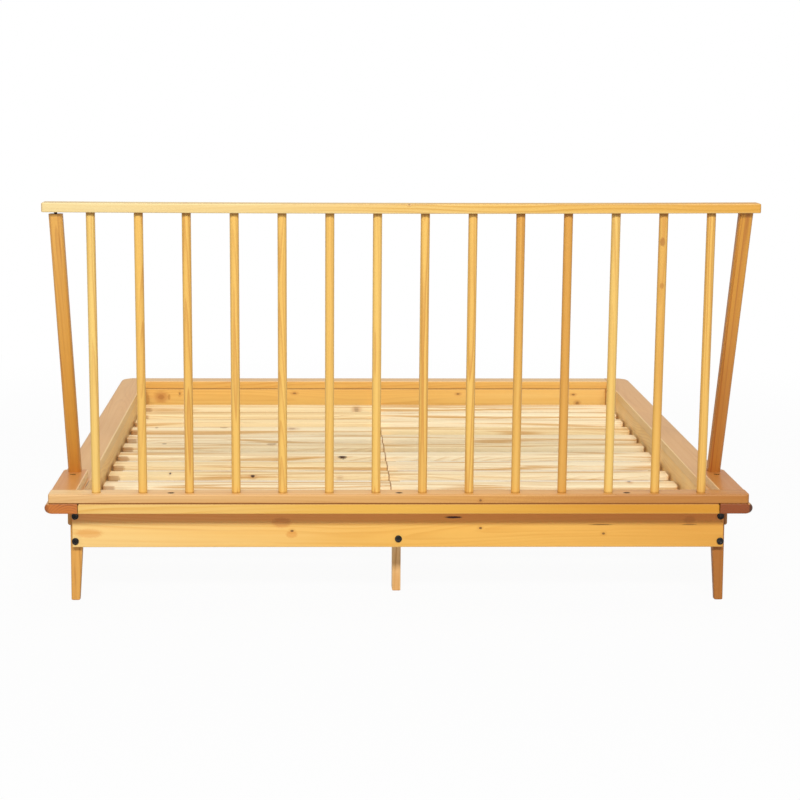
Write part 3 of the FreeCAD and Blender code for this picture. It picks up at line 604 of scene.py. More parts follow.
@dataclass(frozen=True)
class Pine:
    """Solid pine cut from a log: rings round a pith, fibres, knots, darker ends, rubbed edges,
    and patches of painted light and shade.
    """

    name: str
    pale: str = "F3CE93"
    golden: str = "EDB664"
    deep: str = "D68F40"
    late: str = "C98139"
    end: str = "B5682C"
    end_late: str = "6E3216"
    stain: str = "B4692C"
    spacing: float = 6 * MM
    contrast: float = 0.45
    streaks: float = 0.35
    streak_pitch: float = 95.0
    lines: float = 0.0
    drift: float = 0.0
    end_share: float = 0.6
    end_corner: float = 0.0
    roughness: float = 0.42
    coat: float = 0.08
    knots_and_painted_light: tuple[KnotOrPaintedLight, ...] = ()
    pith_deep: float = 34 * MM
    pith_sway: float = 0.16
    pith_dip: float = 0.05
    pith_tilt: float = 0.012
    ripple: float = 1.8
    knot_push: float = 1.2
    rubbed: float = 0.22
    end_fade: tuple[float, float] = (-2.2 * MM, -0.7 * MM)
    edge_fade: tuple[float, float] = (-4 * MM, -1 * MM)
    stain_fade: tuple[float, float] = (3.0, 0.9)
    core_fade: tuple[float, float] = (1.1, 0.6)

    def material(self) -> bpy.types.Material:
        """Builds the material.

        Returns:
            The material, which reads the piece's own wood coordinates.
        """
        desk = Desk.material(self.name)
        local = desk.attribute("timber")
        wood = desk.vector("ADD", local, desk.attribute("log"))
        axes = desk.split(local)
        half = desk.split(desk.attribute("half"))
        halo, cores_with_painted_light = self._knots_and_painted_light(desk)
        pitch = self.streak_pitch
        broad = desk.noise(wood, (7.0, 7.0, 1.1)) - 0.5
        streak = desk.noise(wood, (pitch, pitch, 1.6), 3.0) - 0.5
        fibre = desk.noise(wood, (700.0, 700.0, 14.0)) - 0.5
        strong = desk.step(desk.noise(wood, (18.0, 18.0, 0.7), 1.0), 0.34, 0.64)
        late = self._late_wood(desk, wood, axes, halo) * (0.3 + strong)
        thin = abs(desk.noise(wood, (pitch * 0.3, pitch * 0.3, 0.7), 1.0) - 0.5)
        line = desk.step(thin, 0.045, 0.01) * (0.2 + strong)
        share = late * self.contrast + streak * self.streaks + fibre * 0.12 + line * self.lines
        share = desk.step(share + broad * 0.3 + 0.1, 0.0, 1.0)
        depth = (desk.attribute("tone", "Fac") + axes[2] / half[2] * self.drift + broad * 0.5
                 + streak * 0.25)
        ground = desk.blend(desk.step(depth, 0.0, 0.5), linear(self.pale), linear(self.golden))
        ground = desk.blend(desk.step(depth, 0.5, 1.0), ground, linear(self.deep))
        colour = desk.blend(share, ground, linear(self.late))
        colour = self._ends_and_edges(desk, colour, axes, half, late)
        colour = desk.blend(halo, colour, linear(self.stain))
        # Knots, cracks, joint lines and the patches of painted light and shade go on last, by
        # colour.
        for code, core in cores_with_painted_light.items():
            colour = desk.blend(core, colour, linear(code))
        bump = desk.node("ShaderNodeBump", None, {"Strength": 0.22, "Distance": 0.5 * MM,
                                                  "Height": fibre * 0.5 + late * 0.35})
        return desk.finish(Base_Color=colour, Normal=bump, Coat_Weight=self.coat,
                           Roughness=self.roughness + fibre * 0.12 + streak * 0.1,
                           Coat_Roughness=0.35, Specular_IOR_Level=0.3)

    def _late_wood(self, desk: Desk, wood: Wire, axes: tuple[Wire, ...], halo: Wire) -> Wire:
        """Draws the rings: the distance from a wandering pith, sharpened to each dark edge.

        Args:
            desk: The material.
            wood: Coordinates in the log.
            axes: Distances over the face, through the board and along the grain.
            halo: Where knots push the rings aside.

        Returns:
            From 0 in early wood to 1 in late wood.
        """
        across, through, along = axes
        sway = desk.noise(wood, (0.6, 0.6, 0.8), 1.0) - 0.5
        ripple = desk.noise(wood, (22.0, 22.0, 2.6)) - 0.5
        side = across + sway * self.pith_sway + along * self.pith_tilt
        under = through + self.pith_deep + sway * self.pith_dip
        radius = (side * side + under * under) ** 0.5
        turn = desk.maths("FRACT", radius / self.spacing + ripple * self.ripple
                          + halo * self.knot_push)
        return desk.step(turn, 0.3, 0.92) * desk.step(turn, 1.0, 0.93)

    def _ends_and_edges(self, desk: Desk, colour: Wire, axes: tuple[Wire, ...],
                        half: tuple[Wire, ...], late: Wire) -> Wire:
        """Darkens the end grain and pales the rubbed long edges.

        Args:
            desk: The material.
            colour: The wood's colour so far.
            axes: Distances over the face, through the board and along the grain.
            half: Half the board's size in the same directions.
            late: Where the late wood is.

        Returns:
            The colour with both.
        """
        over, through, along = (abs(axis) - reach for axis, reach in zip(axes, half))
        cut = desk.maths("MAXIMUM", over + self.end_corner, 0.0)
        cut = cut * cut / max(self.end_corner, MM)
        at_end = desk.step(along + cut, *self.end_fade)
        edge = desk.step(over, *self.edge_fade) * desk.step(through, *self.edge_fade)
        colour = desk.blend(edge * self.rubbed, colour, linear(self.pale))
        grained = desk.blend(late * 0.6, linear(self.end), linear(self.end_late))
        return desk.blend(at_end * self.end_share, colour, grained)

    def _knots_and_painted_light(self, desk: Desk) -> tuple[Wire, dict[str, Wire]]:
        """Measures how near each point is to a knot, crack or patch of painted light or shade.

        A mark's distance is the length of (place - middle) / radii, made a little ragged.

        Args:
            desk: The material.

        Returns:
            How stained the wood is round knots, and the cores of all marks by colour, painted light
            and shade among them.
        """
        place = desk.place()
        halo = desk.maths("ADD", 0.0, 0.0)
        cores_with_painted_light: dict[str, Wire] = {}
        rag = (desk.noise(place, (260.0, 260.0, 260.0), 1.0) - 0.5) * 0.5
        for knot_or_light in self.knots_and_painted_light:
            away = desk.vector("SUBTRACT", place, knot_or_light.at)
            distance = desk.length(desk.vector("DIVIDE", away, knot_or_light.reach)) + rag
            if knot_or_light.ring:
                halo = halo + desk.step(distance, *self.stain_fade) * knot_or_light.ring
            core = desk.step(distance, *self.core_fade) * knot_or_light.share
            known = cores_with_painted_light.get(knot_or_light.colour)
            cores_with_painted_light[knot_or_light.colour] = core if known is None else desk.maths("MAXIMUM", core, known)
        return desk.maths("MINIMUM", halo, 1.0), cores_with_painted_light


@dataclass(frozen=True)
class Beech:
    """Turned beech, whose flecks read the model's own coordinates."""

    name: str = "beech_dowels"
    pale: str = "E8CBA3"
    late: str = "BE9160"

    def material(self) -> bpy.types.Material:
        """Builds the material.

        Returns:
            The material, with flecks and a cloudy tone.
        """
        desk = Desk.material(self.name)
        fleck = desk.noise(desk.place(), (600.0, 600.0, 60.0), 3.0)
        cloud = desk.noise(desk.place(), (40.0, 40.0, 12.0))
        share = desk.step(fleck * 0.6 + cloud * 0.4, 0.35, 0.7)
        bump = desk.node("ShaderNodeBump", None,
                         {"Strength": 0.2, "Distance": 0.3 * MM, "Height": fleck})
        return desk.finish(Base_Color=desk.blend(share, linear(self.pale), linear(self.late)),
                           Roughness=0.5 + fleck * 0.2, Normal=bump)


@dataclass(frozen=True)
class Metal:
    """Steel with a coating: its colour, its colour where rubbed, and how it shines."""

    name: str
    colour: str
    worn: str
    metallic: float
    roughness: float

    def material(self) -> bpy.types.Material:
        """Builds the material.

        Returns:
            The material, with fine speckle and slight wear.
        """
        desk = Desk.material(self.name)
        speckle = desk.noise(desk.place(), (900.0, 900.0, 900.0), 3.0)
        patches = desk.noise(desk.place(), (140.0, 140.0, 140.0))
        rubbed = desk.step(patches + speckle * 0.3, 0.62, 0.85)
        colour = desk.blend(rubbed * 0.6, linear(self.colour), linear(self.worn))
        bump = desk.node("ShaderNodeBump", None,
                         {"Strength": 0.15, "Distance": 0.2 * MM, "Height": speckle})
        return desk.finish(Base_Color=colour, Metallic=self.metallic,
                           Roughness=self.roughness + speckle * 0.15, Normal=bump)


# Pieces


def hang(name: str, data: bpy.types.ID) -> bpy.types.Object:
    """Puts a new object with this data in the scene."""
    made = bpy.data.objects.new(name, data)
    bpy.context.scene.collection.objects.link(made)
    return made


def solid(name: str, shells: list[np.ndarray]) -> tuple[bpy.types.Object, list[int]]:
    """Makes an object of closed shells, at the origin.

    Args:
        name: The object's name.
        shells: Each shell's rings.

    Returns:
        The object, and how many vertices each shell has.
    """
    points, faces, counts = [], [], []
    for rings in shells:
        shell, shell_faces = skin(rings, sum(counts))
        points.append(shell)
        faces.extend(shell_faces)
        counts.append(len(shell))
    mesh = bpy.data.meshes.new(name)
    mesh.from_pydata(np.concatenate(points).tolist(), [], faces)
    mesh.validate()
    return hang(name, mesh), counts


@dataclass
class Piece:
    """One visible piece: its closed shells, its finish, and the model's nodes it stands for."""

    name: str
    parts: list[Part]
    material: bpy.types.Material
    nodes: tuple[str, ...]
    slot: Slot = Slot.FINISHED
    cutters: tuple[np.ndarray, ...] = ()

    def build(self) -> None:
        """Makes the mesh, cuts its holes, writes its wood coordinates and hangs it on the frame."""
        piece, counts = solid(self.name, [part.rings for part in self.parts])
        if self.cutters:
            self._cut(piece)
        self._write_wood(piece.data, counts)
        piece.data.materials.clear()
        piece.data.materials.append(self.material)
        piece.data.shade_smooth()
        piece.data.set_sharp_from_angle(angle=SHARP_ANGLE)
        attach(piece, "root")
        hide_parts(*self.nodes)
        LOG.info("%s: %d faces", self.name, len(piece.data.polygons))

    def _cut(self, piece: bpy.types.Object) -> None:
        """Cuts the holes, and leaves no modifier or cutter behind.

        Args:
            piece: The piece to cut.
        """
        tool, _ = solid("cutter", list(self.cutters))
        cut = piece.modifiers.new("holes", "BOOLEAN")
        cut.operation = "DIFFERENCE"
        cut.solver = "EXACT"
        cut.object = tool
        bpy.context.view_layer.update()
        graph = bpy.context.evaluated_depsgraph_get()
        bored = bpy.data.meshes.new_from_object(piece.evaluated_get(graph))
        piece.modifiers.clear()
        piece.data = bored
        bpy.data.objects.remove(tool)

    def _write_wood(self, mesh: bpy.types.Mesh, counts: list[int]) -> None:
        """Writes each part's place in its log, its half size and its tone onto the vertices.

        Args:
            mesh: The finished mesh.
            counts: How many vertices each part has; one part takes all that there are.
        """
        points = np.empty(len(mesh.vertices) * 3, np.float32)
        mesh.vertices.foreach_get("co", points)
        points = points.reshape(-1, 3)
        ends = np.cumsum(counts) if len(counts) > 1 else np.array([len(points)])
        local, shift, half = (np.empty_like(points) for _ in range(3))
        tone = np.empty(len(points), np.float32)
        begin = 0
        for part, end in zip(self.parts, ends):
            local[begin:end] = part.grain.local(points[begin:end])
            shift[begin:end] = part.grain.log_shift()
            half[begin:end] = part.grain.half
            tone[begin:end] = part.grain.tone
            begin = end
        for name, values in (("timber", local), ("log", shift), ("half", half)):
            field = mesh.attributes.new(name, "FLOAT_VECTOR", "POINT")
            field.data.foreach_set("vector", values.ravel())
        mesh.attributes.new("tone", "FLOAT", "POINT").data.foreach_set("value", tone)


@dataclass
class Ring:
    """The ring of four flat boards round the mattress."""

    nose: float = 12.4 * MM
    edge: float = 2 * MM
    back_edge: float = 1.5 * MM
    foot_edge: float = 4 * MM
    head_corner: float = 12 * MM
    foot_corner: float = 40 * MM

    def build(self) -> None:
        """Builds the two long boards, whose ends show, and the two between them."""
        nose, edge, wide = self.nose, self.edge, self.foot_edge
        left = Corners(self.head_corner, edge, self.foot_corner, edge)
        right = Corners(edge, self.head_corner, edge, self.foot_corner)
        for node, corners, edges, seed, tone, end in (
                ("side_slab_left", left, (edge, edge, nose, nose), 11, 0.35, "B66522"),
                ("side_slab_right", right, (nose, nose, edge, edge), 12, 0.5, "7E3004")):
            side = Pine(f"pine_{node}", pale="E9BA7A", golden="E0AA6A", deep="CB8B4E",
                        late="BB8049", end=end, contrast=0.17, streaks=0.45, end_share=0.92,
                        end_corner=self.head_corner, roughness=0.38, coat=0.12,
                        knots_and_painted_light=SIDE_PAINTED_LIGHT_SHADE_AND_MARKS).material()
            plank = Plank.of_node(node, Axis.ALONG, Axis.ACROSS, edges, corners)
            Piece(f"ring_{node}", [plank.part(seed, tone)], side, (node,)).build()
        for node, edges, corners, seed, drift, knots_and_painted_light in (
                ("head_slab", (edge, edge, self.back_edge, edge),
                 Corners(start_low=3 * MM, end_low=6 * MM), 13, 0.62, HEAD_SLAB_JOINTS_AND_PAINTED_SHADE),
                ("foot_slab", (wide, edge, edge, wide), Corners.all(edge), 14, 0.0,
                 FOOT_SLAB_PAINTED_LIGHT_AND_SHADE)):
            finish = Pine(f"pine_{node}", pale="EAC685", golden="E2AE58", deep="C67C31",
                          late="C68134", contrast=0.25, streaks=0.45, drift=drift,
                          knots_and_painted_light=knots_and_painted_light).material()
            plank = Plank.of_node(node, Axis.ACROSS, Axis.ALONG, edges, corners)
            Piece(f"ring_{node}", [plank.part(seed, 0.5)], finish, (node,)).build()


@dataclass
class Rails:
    """The side rails and the aprons under the ring."""

    edge: float = 2.5 * MM

    def build(self) -> None:
        """Builds the four boards."""
        edges = (self.edge,) * 4
        plain = Pine("pine_rails", pale="FFE4A8", golden="FFD48A", contrast=0.25).material()
        for node, seed in (("side_rail_left", 21), ("side_rail_right", 22)):
            plank = Plank.of_node(node, Axis.ALONG, Axis.UP, edges)
            Piece(f"rail_{node}", [plank.part(seed, 0.4)], plain, (node,)).build()
        for node, seed, drift, knots_and_painted_light in (("head_apron", 23, 0.42, HEAD_APRON_KNOTS_AND_PAINTED_SHADE),
                                         ("foot_apron", 24, 0.0, FOOT_APRON_KNOTS_AND_PAINTED_SHADE)):
            finish = Pine(f"pine_{node}", pale="F1D290", golden="EAB860", deep="CC8835",
                          late="C98632", contrast=0.22, streaks=0.3, drift=drift,
                          knots_and_painted_light=knots_and_painted_light).material()
            plank = Plank.of_node(node, Axis.ACROSS, Axis.UP, edges)
            Piece(f"apron_{node}", [plank.part(seed, 0.42)], finish, (node,)).build()


@dataclass
class Legs:
    """The corner legs, which taper on their two inner faces under a wider rounded shoulder."""

    top: float = 32 * MM
    foot: float = 21 * MM
    head_high: float = 43 * MM
    head_out: float = 6 * MM
    shoulder: float = 5.5 * MM
    edge: float = 4 * MM
    head_edge: float = 1.5 * MM
    sole: float = 1.5 * MM
    crown: float = 0.6 * MM

    def build(self) -> None:
        """Builds the four legs."""
        finish = Pine("pine_legs", golden="D79F4E", deep="A5682B", late="9C5D21", contrast=0.35,
                      streaks=0.5).material()
        for node, sides, seed, tone in (("leg_head_left", (-1, -1), 31, 0.62),
                                        ("leg_head_right", (1, -1), 32, 0.95),
                                        ("leg_foot_left", (-1, 1), 33, 0.6),
                                        ("leg_foot_right", (1, 1), 34, 0.7)):
            leg = self._shape(node, sides, seed, tone)
            Piece(f"corner_{node}", [leg], finish, (node,)).build()

    def _shape(self, node: str, sides: tuple[int, int], seed: int, tone: float) -> Part:
        """Works out a leg level by level.

        The outer faces stay upright. The inner ones move in by a share of the taper that grows
        evenly to the floor, and the head moves out along a quarter circle.

        Args:
            node: The node that it stands for.
            sides: Which way the leg's outer faces look, across and along the bed.
            seed: Its place in a log.
            tone: Its tone.

        Returns:
            The leg.
        """
        low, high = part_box(node)
        height = high[2]
        shaft = height - self.head_high
        turn = np.linspace(0, math.pi / 2, 6)
        levels = np.concatenate([[0, self.sole * 0.3, self.sole],
                                 np.linspace(4 * MM, shaft - 0.1 * MM, 6),
                                 shaft + self.shoulder * (1 - np.cos(turn)),
                                 [height - self.crown, height]])
        side = self.foot + (self.top - self.foot) * np.clip(levels / shaft, 0, 1)
        trim = self.sole * np.clip(1 - levels / self.sole, 0, 1) + self.crown * (levels >= height)
        out = np.where(levels >= shaft,
                       self.head_out - quarter_inset(levels - shaft, self.shoulder), 0)
        x_low, x_high = self._placed(self.head_out - out + trim, self.head_out + side - trim,
                                     low[0], high[0], sides[0])
        y_low, y_high = self._placed(trim, side - trim, low[1], high[1], sides[1])
        radii = np.tile(np.where(levels > shaft, self.head_edge, self.edge)[:, None], (1, 4))
        flat = rounded_rings(np.stack([x_low, y_low], -1), np.stack([x_high, y_high], -1), radii)
        upright = np.broadcast_to(levels[:, None, None], flat.shape[:2] + (1,))
        middle = ((low[0] + high[0]) / 2, (low[1] + high[1]) / 2, height / 2)
        half = (self.top / 2, self.top / 2, height / 2)
        return Part(np.concatenate([flat, upright], axis=-1),
                    Grain(middle, (1, 0, 0), (0, 1, 0), (0, 0, 1), half, seed, tone))

    @staticmethod
    def _placed(near: np.ndarray, far: np.ndarray, low: float, high: float,
                side: int) -> tuple[np.ndarray, np.ndarray]:
        """Turns distances from the outer face into places on the bed."""
        return (low + near, low + far) if side < 0 else (high - far, high - near)


@dataclass
class SlatBase:
    """The half slats in rows, the ledgers under their ends, and the beam on its three legs."""

    rows: int = 13
    middle_gap: float = 0.7 * MM
    corner: float = 8 * MM
    inner_corner: float = 1.5 * MM
    slat_edge: float = 1.2 * MM
    edge: float = 2 * MM
    tone_spread: tuple[float, float] = (-0.2, 0.35)
    foot_shade: float = 0.25

    def build(self) -> None:
        """Builds the rows, each of two halves with their own wood, and what carries them."""
        self._build_rows()
        bare = Pine("pine_beam", pale="C9AE84", golden="BC9C6C", deep="AA8456", late="A07A4A",
                    contrast=0.3, streaks=0.5, roughness=0.6, coat=0.0).material()
        edges = (self.edge,) * 4
        for node, width, seed in (("slat_ledger_left", Axis.UP, 61),
                                  ("slat_ledger_right", Axis.UP, 62),
                                  ("centre_beam", Axis.ACROSS, 63)):
            plank = Plank.of_node(node, Axis.ALONG, width, edges)
            Piece(f"base_{node}", [plank.part(seed, 0.4)], bare, (node,), Slot.BARE).build()
        # Painted light: the centre legs get a much paler finish, paler still towards their tops,
        # where the apron above shades them.
        stand = Pine("pine_centre_legs", pale="FFE6B4", golden="F8CD90", deep="D8A566",
                     late="CA9858", streaks=0.4, drift=-0.6).material()
        for place, seed in (("head", 64), ("middle", 65), ("foot", 66)):
            node = f"centre_leg_{place}"
            plank = Plank.of_node(node, Axis.UP, Axis.ALONG, edges)
            Piece(f"base_{node}", [plank.part(seed, 0.7)], stand, (node,), Slot.BARE).build()

    def _build_rows(self) -> None:
        """Builds the slats of bare planed pine, with painted shade that deepens them a little
        towards the foot.
        """
        finish = Pine("pine_slats", pale="FFEDC6", golden="FCE1AA", deep="EABF7E", late="D9A865",
                      end="C08A50", spacing=5 * MM, contrast=0.3, streaks=0.6, streak_pitch=60.0,
                      lines=0.7, end_share=0.7, roughness=0.62, coat=0.0,
                      knots_and_painted_light=SLAT_KNOTS_AND_PAINTED_SHADE).material()
        wide, tight, gap = self.corner, self.inner_corner, self.middle_gap / 2
        draw = random.Random(5)
        for row in range(1, self.rows + 1):
            node = f"slat_row_{row:02d}"
            low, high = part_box(node)
            parts = []
            for left, begin, end, corners in (
                    (1, low[0], -gap, Corners(wide, wide, tight, tight)),
                    (0, gap, high[0], Corners(tight, tight, wide, wide))):
                plank = Plank((begin, low[1], low[2]), (end, high[1], high[2]), Axis.ACROSS,
                              Axis.ALONG, (self.slat_edge,) * 4, corners, 6)
                tone = draw.uniform(*self.tone_spread) + self.foot_shade * row / self.rows
                parts.append(plank.part(100 + 2 * row + left, tone))
            Piece(f"slats_{node}", parts, finish, (node,), Slot.BARE).build()


@dataclass
class Headboard:
    """The base rail and its arms, the raked posts, the spindles and the top rail."""

    lean: float = 48 * MM
    clear_height: float = 0.678
    spindle_radius: float = 10.75 * MM
    spindle_ease: float = 1.2 * MM
    post_side: float = 32 * MM
    post_corner: float = 8 * MM
    post_inset: float = 0.022
    bore: float = 14 * MM
    bore_deep: float = 6 * MM
    bore_above: float = 0.02
    pin_reach: float = 0.02
    tip: float = 0.02
    edge: float = 4 * MM
    top_edge: float = 2.5 * MM
    top_corner: float = 6 * MM
    sag: float = 2.4 * MM
    post_sag: float = 0.08
    left_gap: float = 5.6 * MM
    tones: tuple[float, ...] = (0.15, 0.58, 0.6, 0.5, 0.4, 0.3, 0.38, 0.5, 0.46, 0.78, 0.88, 0.2,
                                0.72, 0.6)

    def build(self) -> None:
        """Builds every piece of it."""
        self._build_base()
        self._build_top()
        self._build_posts()
        self._build_spindles()

    def _bore(self, x: float, y: float, top: float) -> np.ndarray:
        """Gives a counterbore's cutter, a cylinder that stands above the face."""
        return slanted(circle(self.bore / 2, 40), (x, y, top - self.bore_deep),
                       (x, y, top + self.bore_above), np.array([0.0, 1.0]))

    def _build_base(self) -> None:
        """Builds the base rail and the two arms, with the screws' counterbores."""
        finish = Pine("pine_base_rail", pale="F1C98D", golden="E1AA5F", deep="B26D31",
                      late="BF8245", contrast=0.28, drift=0.4, knots_and_painted_light=BASE_RAIL_KNOTS_AND_PAINTED_SHADE).material()
        thin = 1 * MM
        node = "headboard_base_rail"
        plank = Plank.of_node(node, Axis.ACROSS, Axis.ALONG,
                              (thin, self.edge, self.edge * 0.5, thin),
                              Corners(start_low=4 * MM, end_low=9 * MM))
        row = plank.low[1] + SCREW_INSET
        bores = tuple(self._bore(x, row, plank.high[2]) for x in SCREW_PLACES)
        Piece("headboard_base", [plank.part(41, 0.4)], finish, (node,), cutters=bores).build()
        finish = Pine("pine_arms", pale="DFA964", golden="D3934D", deep="C07E3C", contrast=0.3,
                      roughness=0.36, coat=0.12, knots_and_painted_light=ARM_PAINTED_LIGHT_AND_SHADE).material()
        corners = Corners(end_low=10 * MM, end_high=10 * MM)
        for node, eased, seed, tone in (
                ("headboard_arm_left", (thin, thin, thin, self.edge), 42, 0.6),
                ("headboard_arm_right", (self.edge, thin, thin, thin), 43, 0.85)):
            plank = Plank.of_node(node, Axis.ALONG, Axis.ACROSS, eased, corners)
            middle = (plank.low[0] + plank.high[0]) / 2
            bore = self._bore(middle, plank.low[1] + ARM_SCREW_INSET, plank.high[2])
            Piece(f"headboard_{node}", [plank.part(seed, tone)], finish, (node,),
                  cutters=(bore,)).build()

    def _build_top(self) -> None:
        """Builds the top rail, which sags a little between the posts.

        A point drops by the sag times 1 - (x / half)^2.
        """
        finish = Pine("pine_top_rail", pale="DDC68D", golden="DBB05B", deep="CF8F2E",
                      late="C48F34", contrast=0.4, drift=0.4, knots_and_painted_light=TOP_RAIL_KNOTS).material()
        plank = Plank.of_node("top_rail", Axis.ACROSS, Axis.ALONG, (self.top_edge,) * 4,
                              Corners.all(self.top_corner), 24)
        rail = plank.part(44, 0.35)
        rail.rings[..., 2] -= self.sag * (1 - (rail.rings[..., 0] / plank.high[0]) ** 2)
        Piece("headboard_top_rail", [rail], finish, ("top_rail",)).build()

    def _build_posts(self) -> None:
        """Builds the raked posts; the left one stops just short of the rail, round its pin.

        The outline is drawn out along the bed by sqrt(1 + rake^2), to be square across the lean.
        """
        finish = Pine("pine_posts", pale="E7B05A", golden="D6983D", deep="C07D35", late="A8612B",
                      contrast=0.4, streaks=0.7, streak_pitch=170.0, lines=0.55, drift=-0.25,
                      knots_and_painted_light=SPINDLE_KNOTS_AND_PAINTED_SHADE).material()
        arm_top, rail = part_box("headboard_arm_left")[1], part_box("top_rail")
        foot_y, foot_z = arm_top[1] - self.post_inset, arm_top[2]
        top_y = sum(corner[1] for corner in rail) / 2
        reach = rail[0][2] - foot_z
        wide = self.post_side / 2
        outline = rounded_rings(np.array([[-wide, -wide]]), np.array([[wide, wide]]),
                                np.full((1, 4), self.post_corner), 8)[0]
        outline[:, 1] *= math.hypot(1, (foot_y - top_y) / reach)
        for node, seed, tone, gap in (("post_left", 45, 0.45, self.left_gap),
                                      ("post_right", 46, 0.8, 0.0)):
            x = sum(corner[0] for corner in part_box(node)) / 2
            share = 1 - (gap + self.sag * self.post_sag) / reach
            start = np.array([x, foot_y, foot_z])
            end = np.array([x, foot_y + (top_y - foot_y) * share, foot_z + reach * share])
            rings = slanted(outline, start, end, np.linspace(0, 1, 9))
            _, grain = self._leaning(start, end, (wide, wide), self.pin_reach, seed, tone)
            Piece(f"headboard_{node}", [Part(rings, grain)], finish, (node,)).build()

    @staticmethod
    def _leaning(start: np.ndarray, end: np.ndarray, half: tuple[float, float], spare: float,
                 seed: int, tone: float) -> tuple[float, Grain]:
        """Gives the grain of a part that leans back.

        Args:
            start: The middle of its foot.
            end: The middle of its top.
            half: Half its width and half its depth.
            spare: How far past its ends the darker end grain lies.
            seed: Its place in a log.
            tone: Its tone.

        Returns:
            Its length and its grain.
        """
        length = float(np.linalg.norm(end - start))
        axis = (end - start) / length
        grain = Grain(tuple((start + end) / 2), (1, 0, 0), (0.0, axis[2], -axis[1]), tuple(axis),
                      (*half, length / 2 + spare), seed, tone)
        return length, grain

    def _build_spindles(self) -> None:
        """Builds the spindles, each round, leaning and eased at its ends.

        A ring is its centre on the axis plus r (cos a, sin a) across the axis.
        """
        finish = Pine("pine_spindles", pale="E6C471", golden="E4B75F", deep="D09744",
                      late="BF8137", contrast=0.4, streaks=0.45, roughness=0.38, coat=0.12,
                      knots_and_painted_light=SPINDLE_KNOTS_AND_PAINTED_SHADE).material()
        radius, ease = self.spindle_radius, self.spindle_ease
        angle = math.atan(self.lean / self.clear_height)
        back, drop = radius * math.cos(angle), radius * math.sin(angle)
        unit = circle(1.0, 48)
        tips = end_levels((ease,), 3)
        for number, tone in enumerate(self.tones, start=1):
            node = f"spindle_{number:02d}"
            low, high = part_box(node)
            x = (low[0] + high[0]) / 2
            start = np.array([x, high[1] - back, low[2] + drop])
            end = np.array([x, low[1] + back, high[2] - drop])
            length, grain = self._leaning(start, end, (radius, radius), 0.0, 200 + number, tone)
            shaft = np.linspace(self.tip, length - self.tip, 9)
            levels = np.concatenate([tips, shaft, (length - tips)[::-1]])
            inset = quarter_inset(levels, ease) + quarter_inset(length - levels, ease)
            disc = unit @ np.array([grain.face, grain.depth])
            centres = start + levels[:, None] * np.array(grain.grain)
            rings = centres[:, None, :] + (radius - inset)[:, None, None] * disc[None]
            Piece(f"headboard_{node}", [Part(rings, grain)], finish, (node,)).build()


@dataclass(frozen=True)
class Screw:
    """A round-headed fastener with a hexagon socket, along its own axis."""

    shank: float
    below: float
    head: float
    head_high: float
    key: float
    key_deep: float = 2.6 * MM
    ease: float = 1.4 * MM
    bevel: float = 0.3 * MM
    flare: float = 1.12
    taper: float = 0.98
    count: int = 48

    def rings(self, seat: Vec, out: Vec) -> np.ndarray:
        """Works out the shell from the shank's tip over the head and down into its socket.

        Each ring is a circle or the socket's hexagon, at its height along the axis.

        Args:
            seat: The middle of the head's underside.
            out: The direction that the head faces.

        Returns:
            Points of shape (levels, points, 3).
        """
        body, head, top, bevel = self.shank / 2, self.head / 2, self.head_high, self.bevel
        outline = [(body - 1 * MM, -self.below), (body, 2 * MM - self.below), (body, 0.0),
                   (head - bevel, 0.0), (head, bevel)]
        outline += [(head - self.ease * (1 - math.cos(t)), top - self.ease * (1 - math.sin(t)))
                    for t in np.linspace(0, math.pi / 2, 6)]
        disc = circle(1.0, self.count)
        hexed = hexagon(self.key, self.count)
        rings = np.stack([disc * radius for radius, _ in outline]
                         + [hexed * self.flare, hexed, hexed * self.taper])
        heights = [height for _, height in outline] + [top, top - bevel, top - self.key_deep]
        axis, side = np.array(out, float), np.array([1.0, 0.0, 0.0])
        lifted = np.array(heights)[:, None, None] * axis
        other = np.cross(axis, side)
        return np.array(seat) + lifted + rings[..., :1] * side + rings[..., 1:] * other


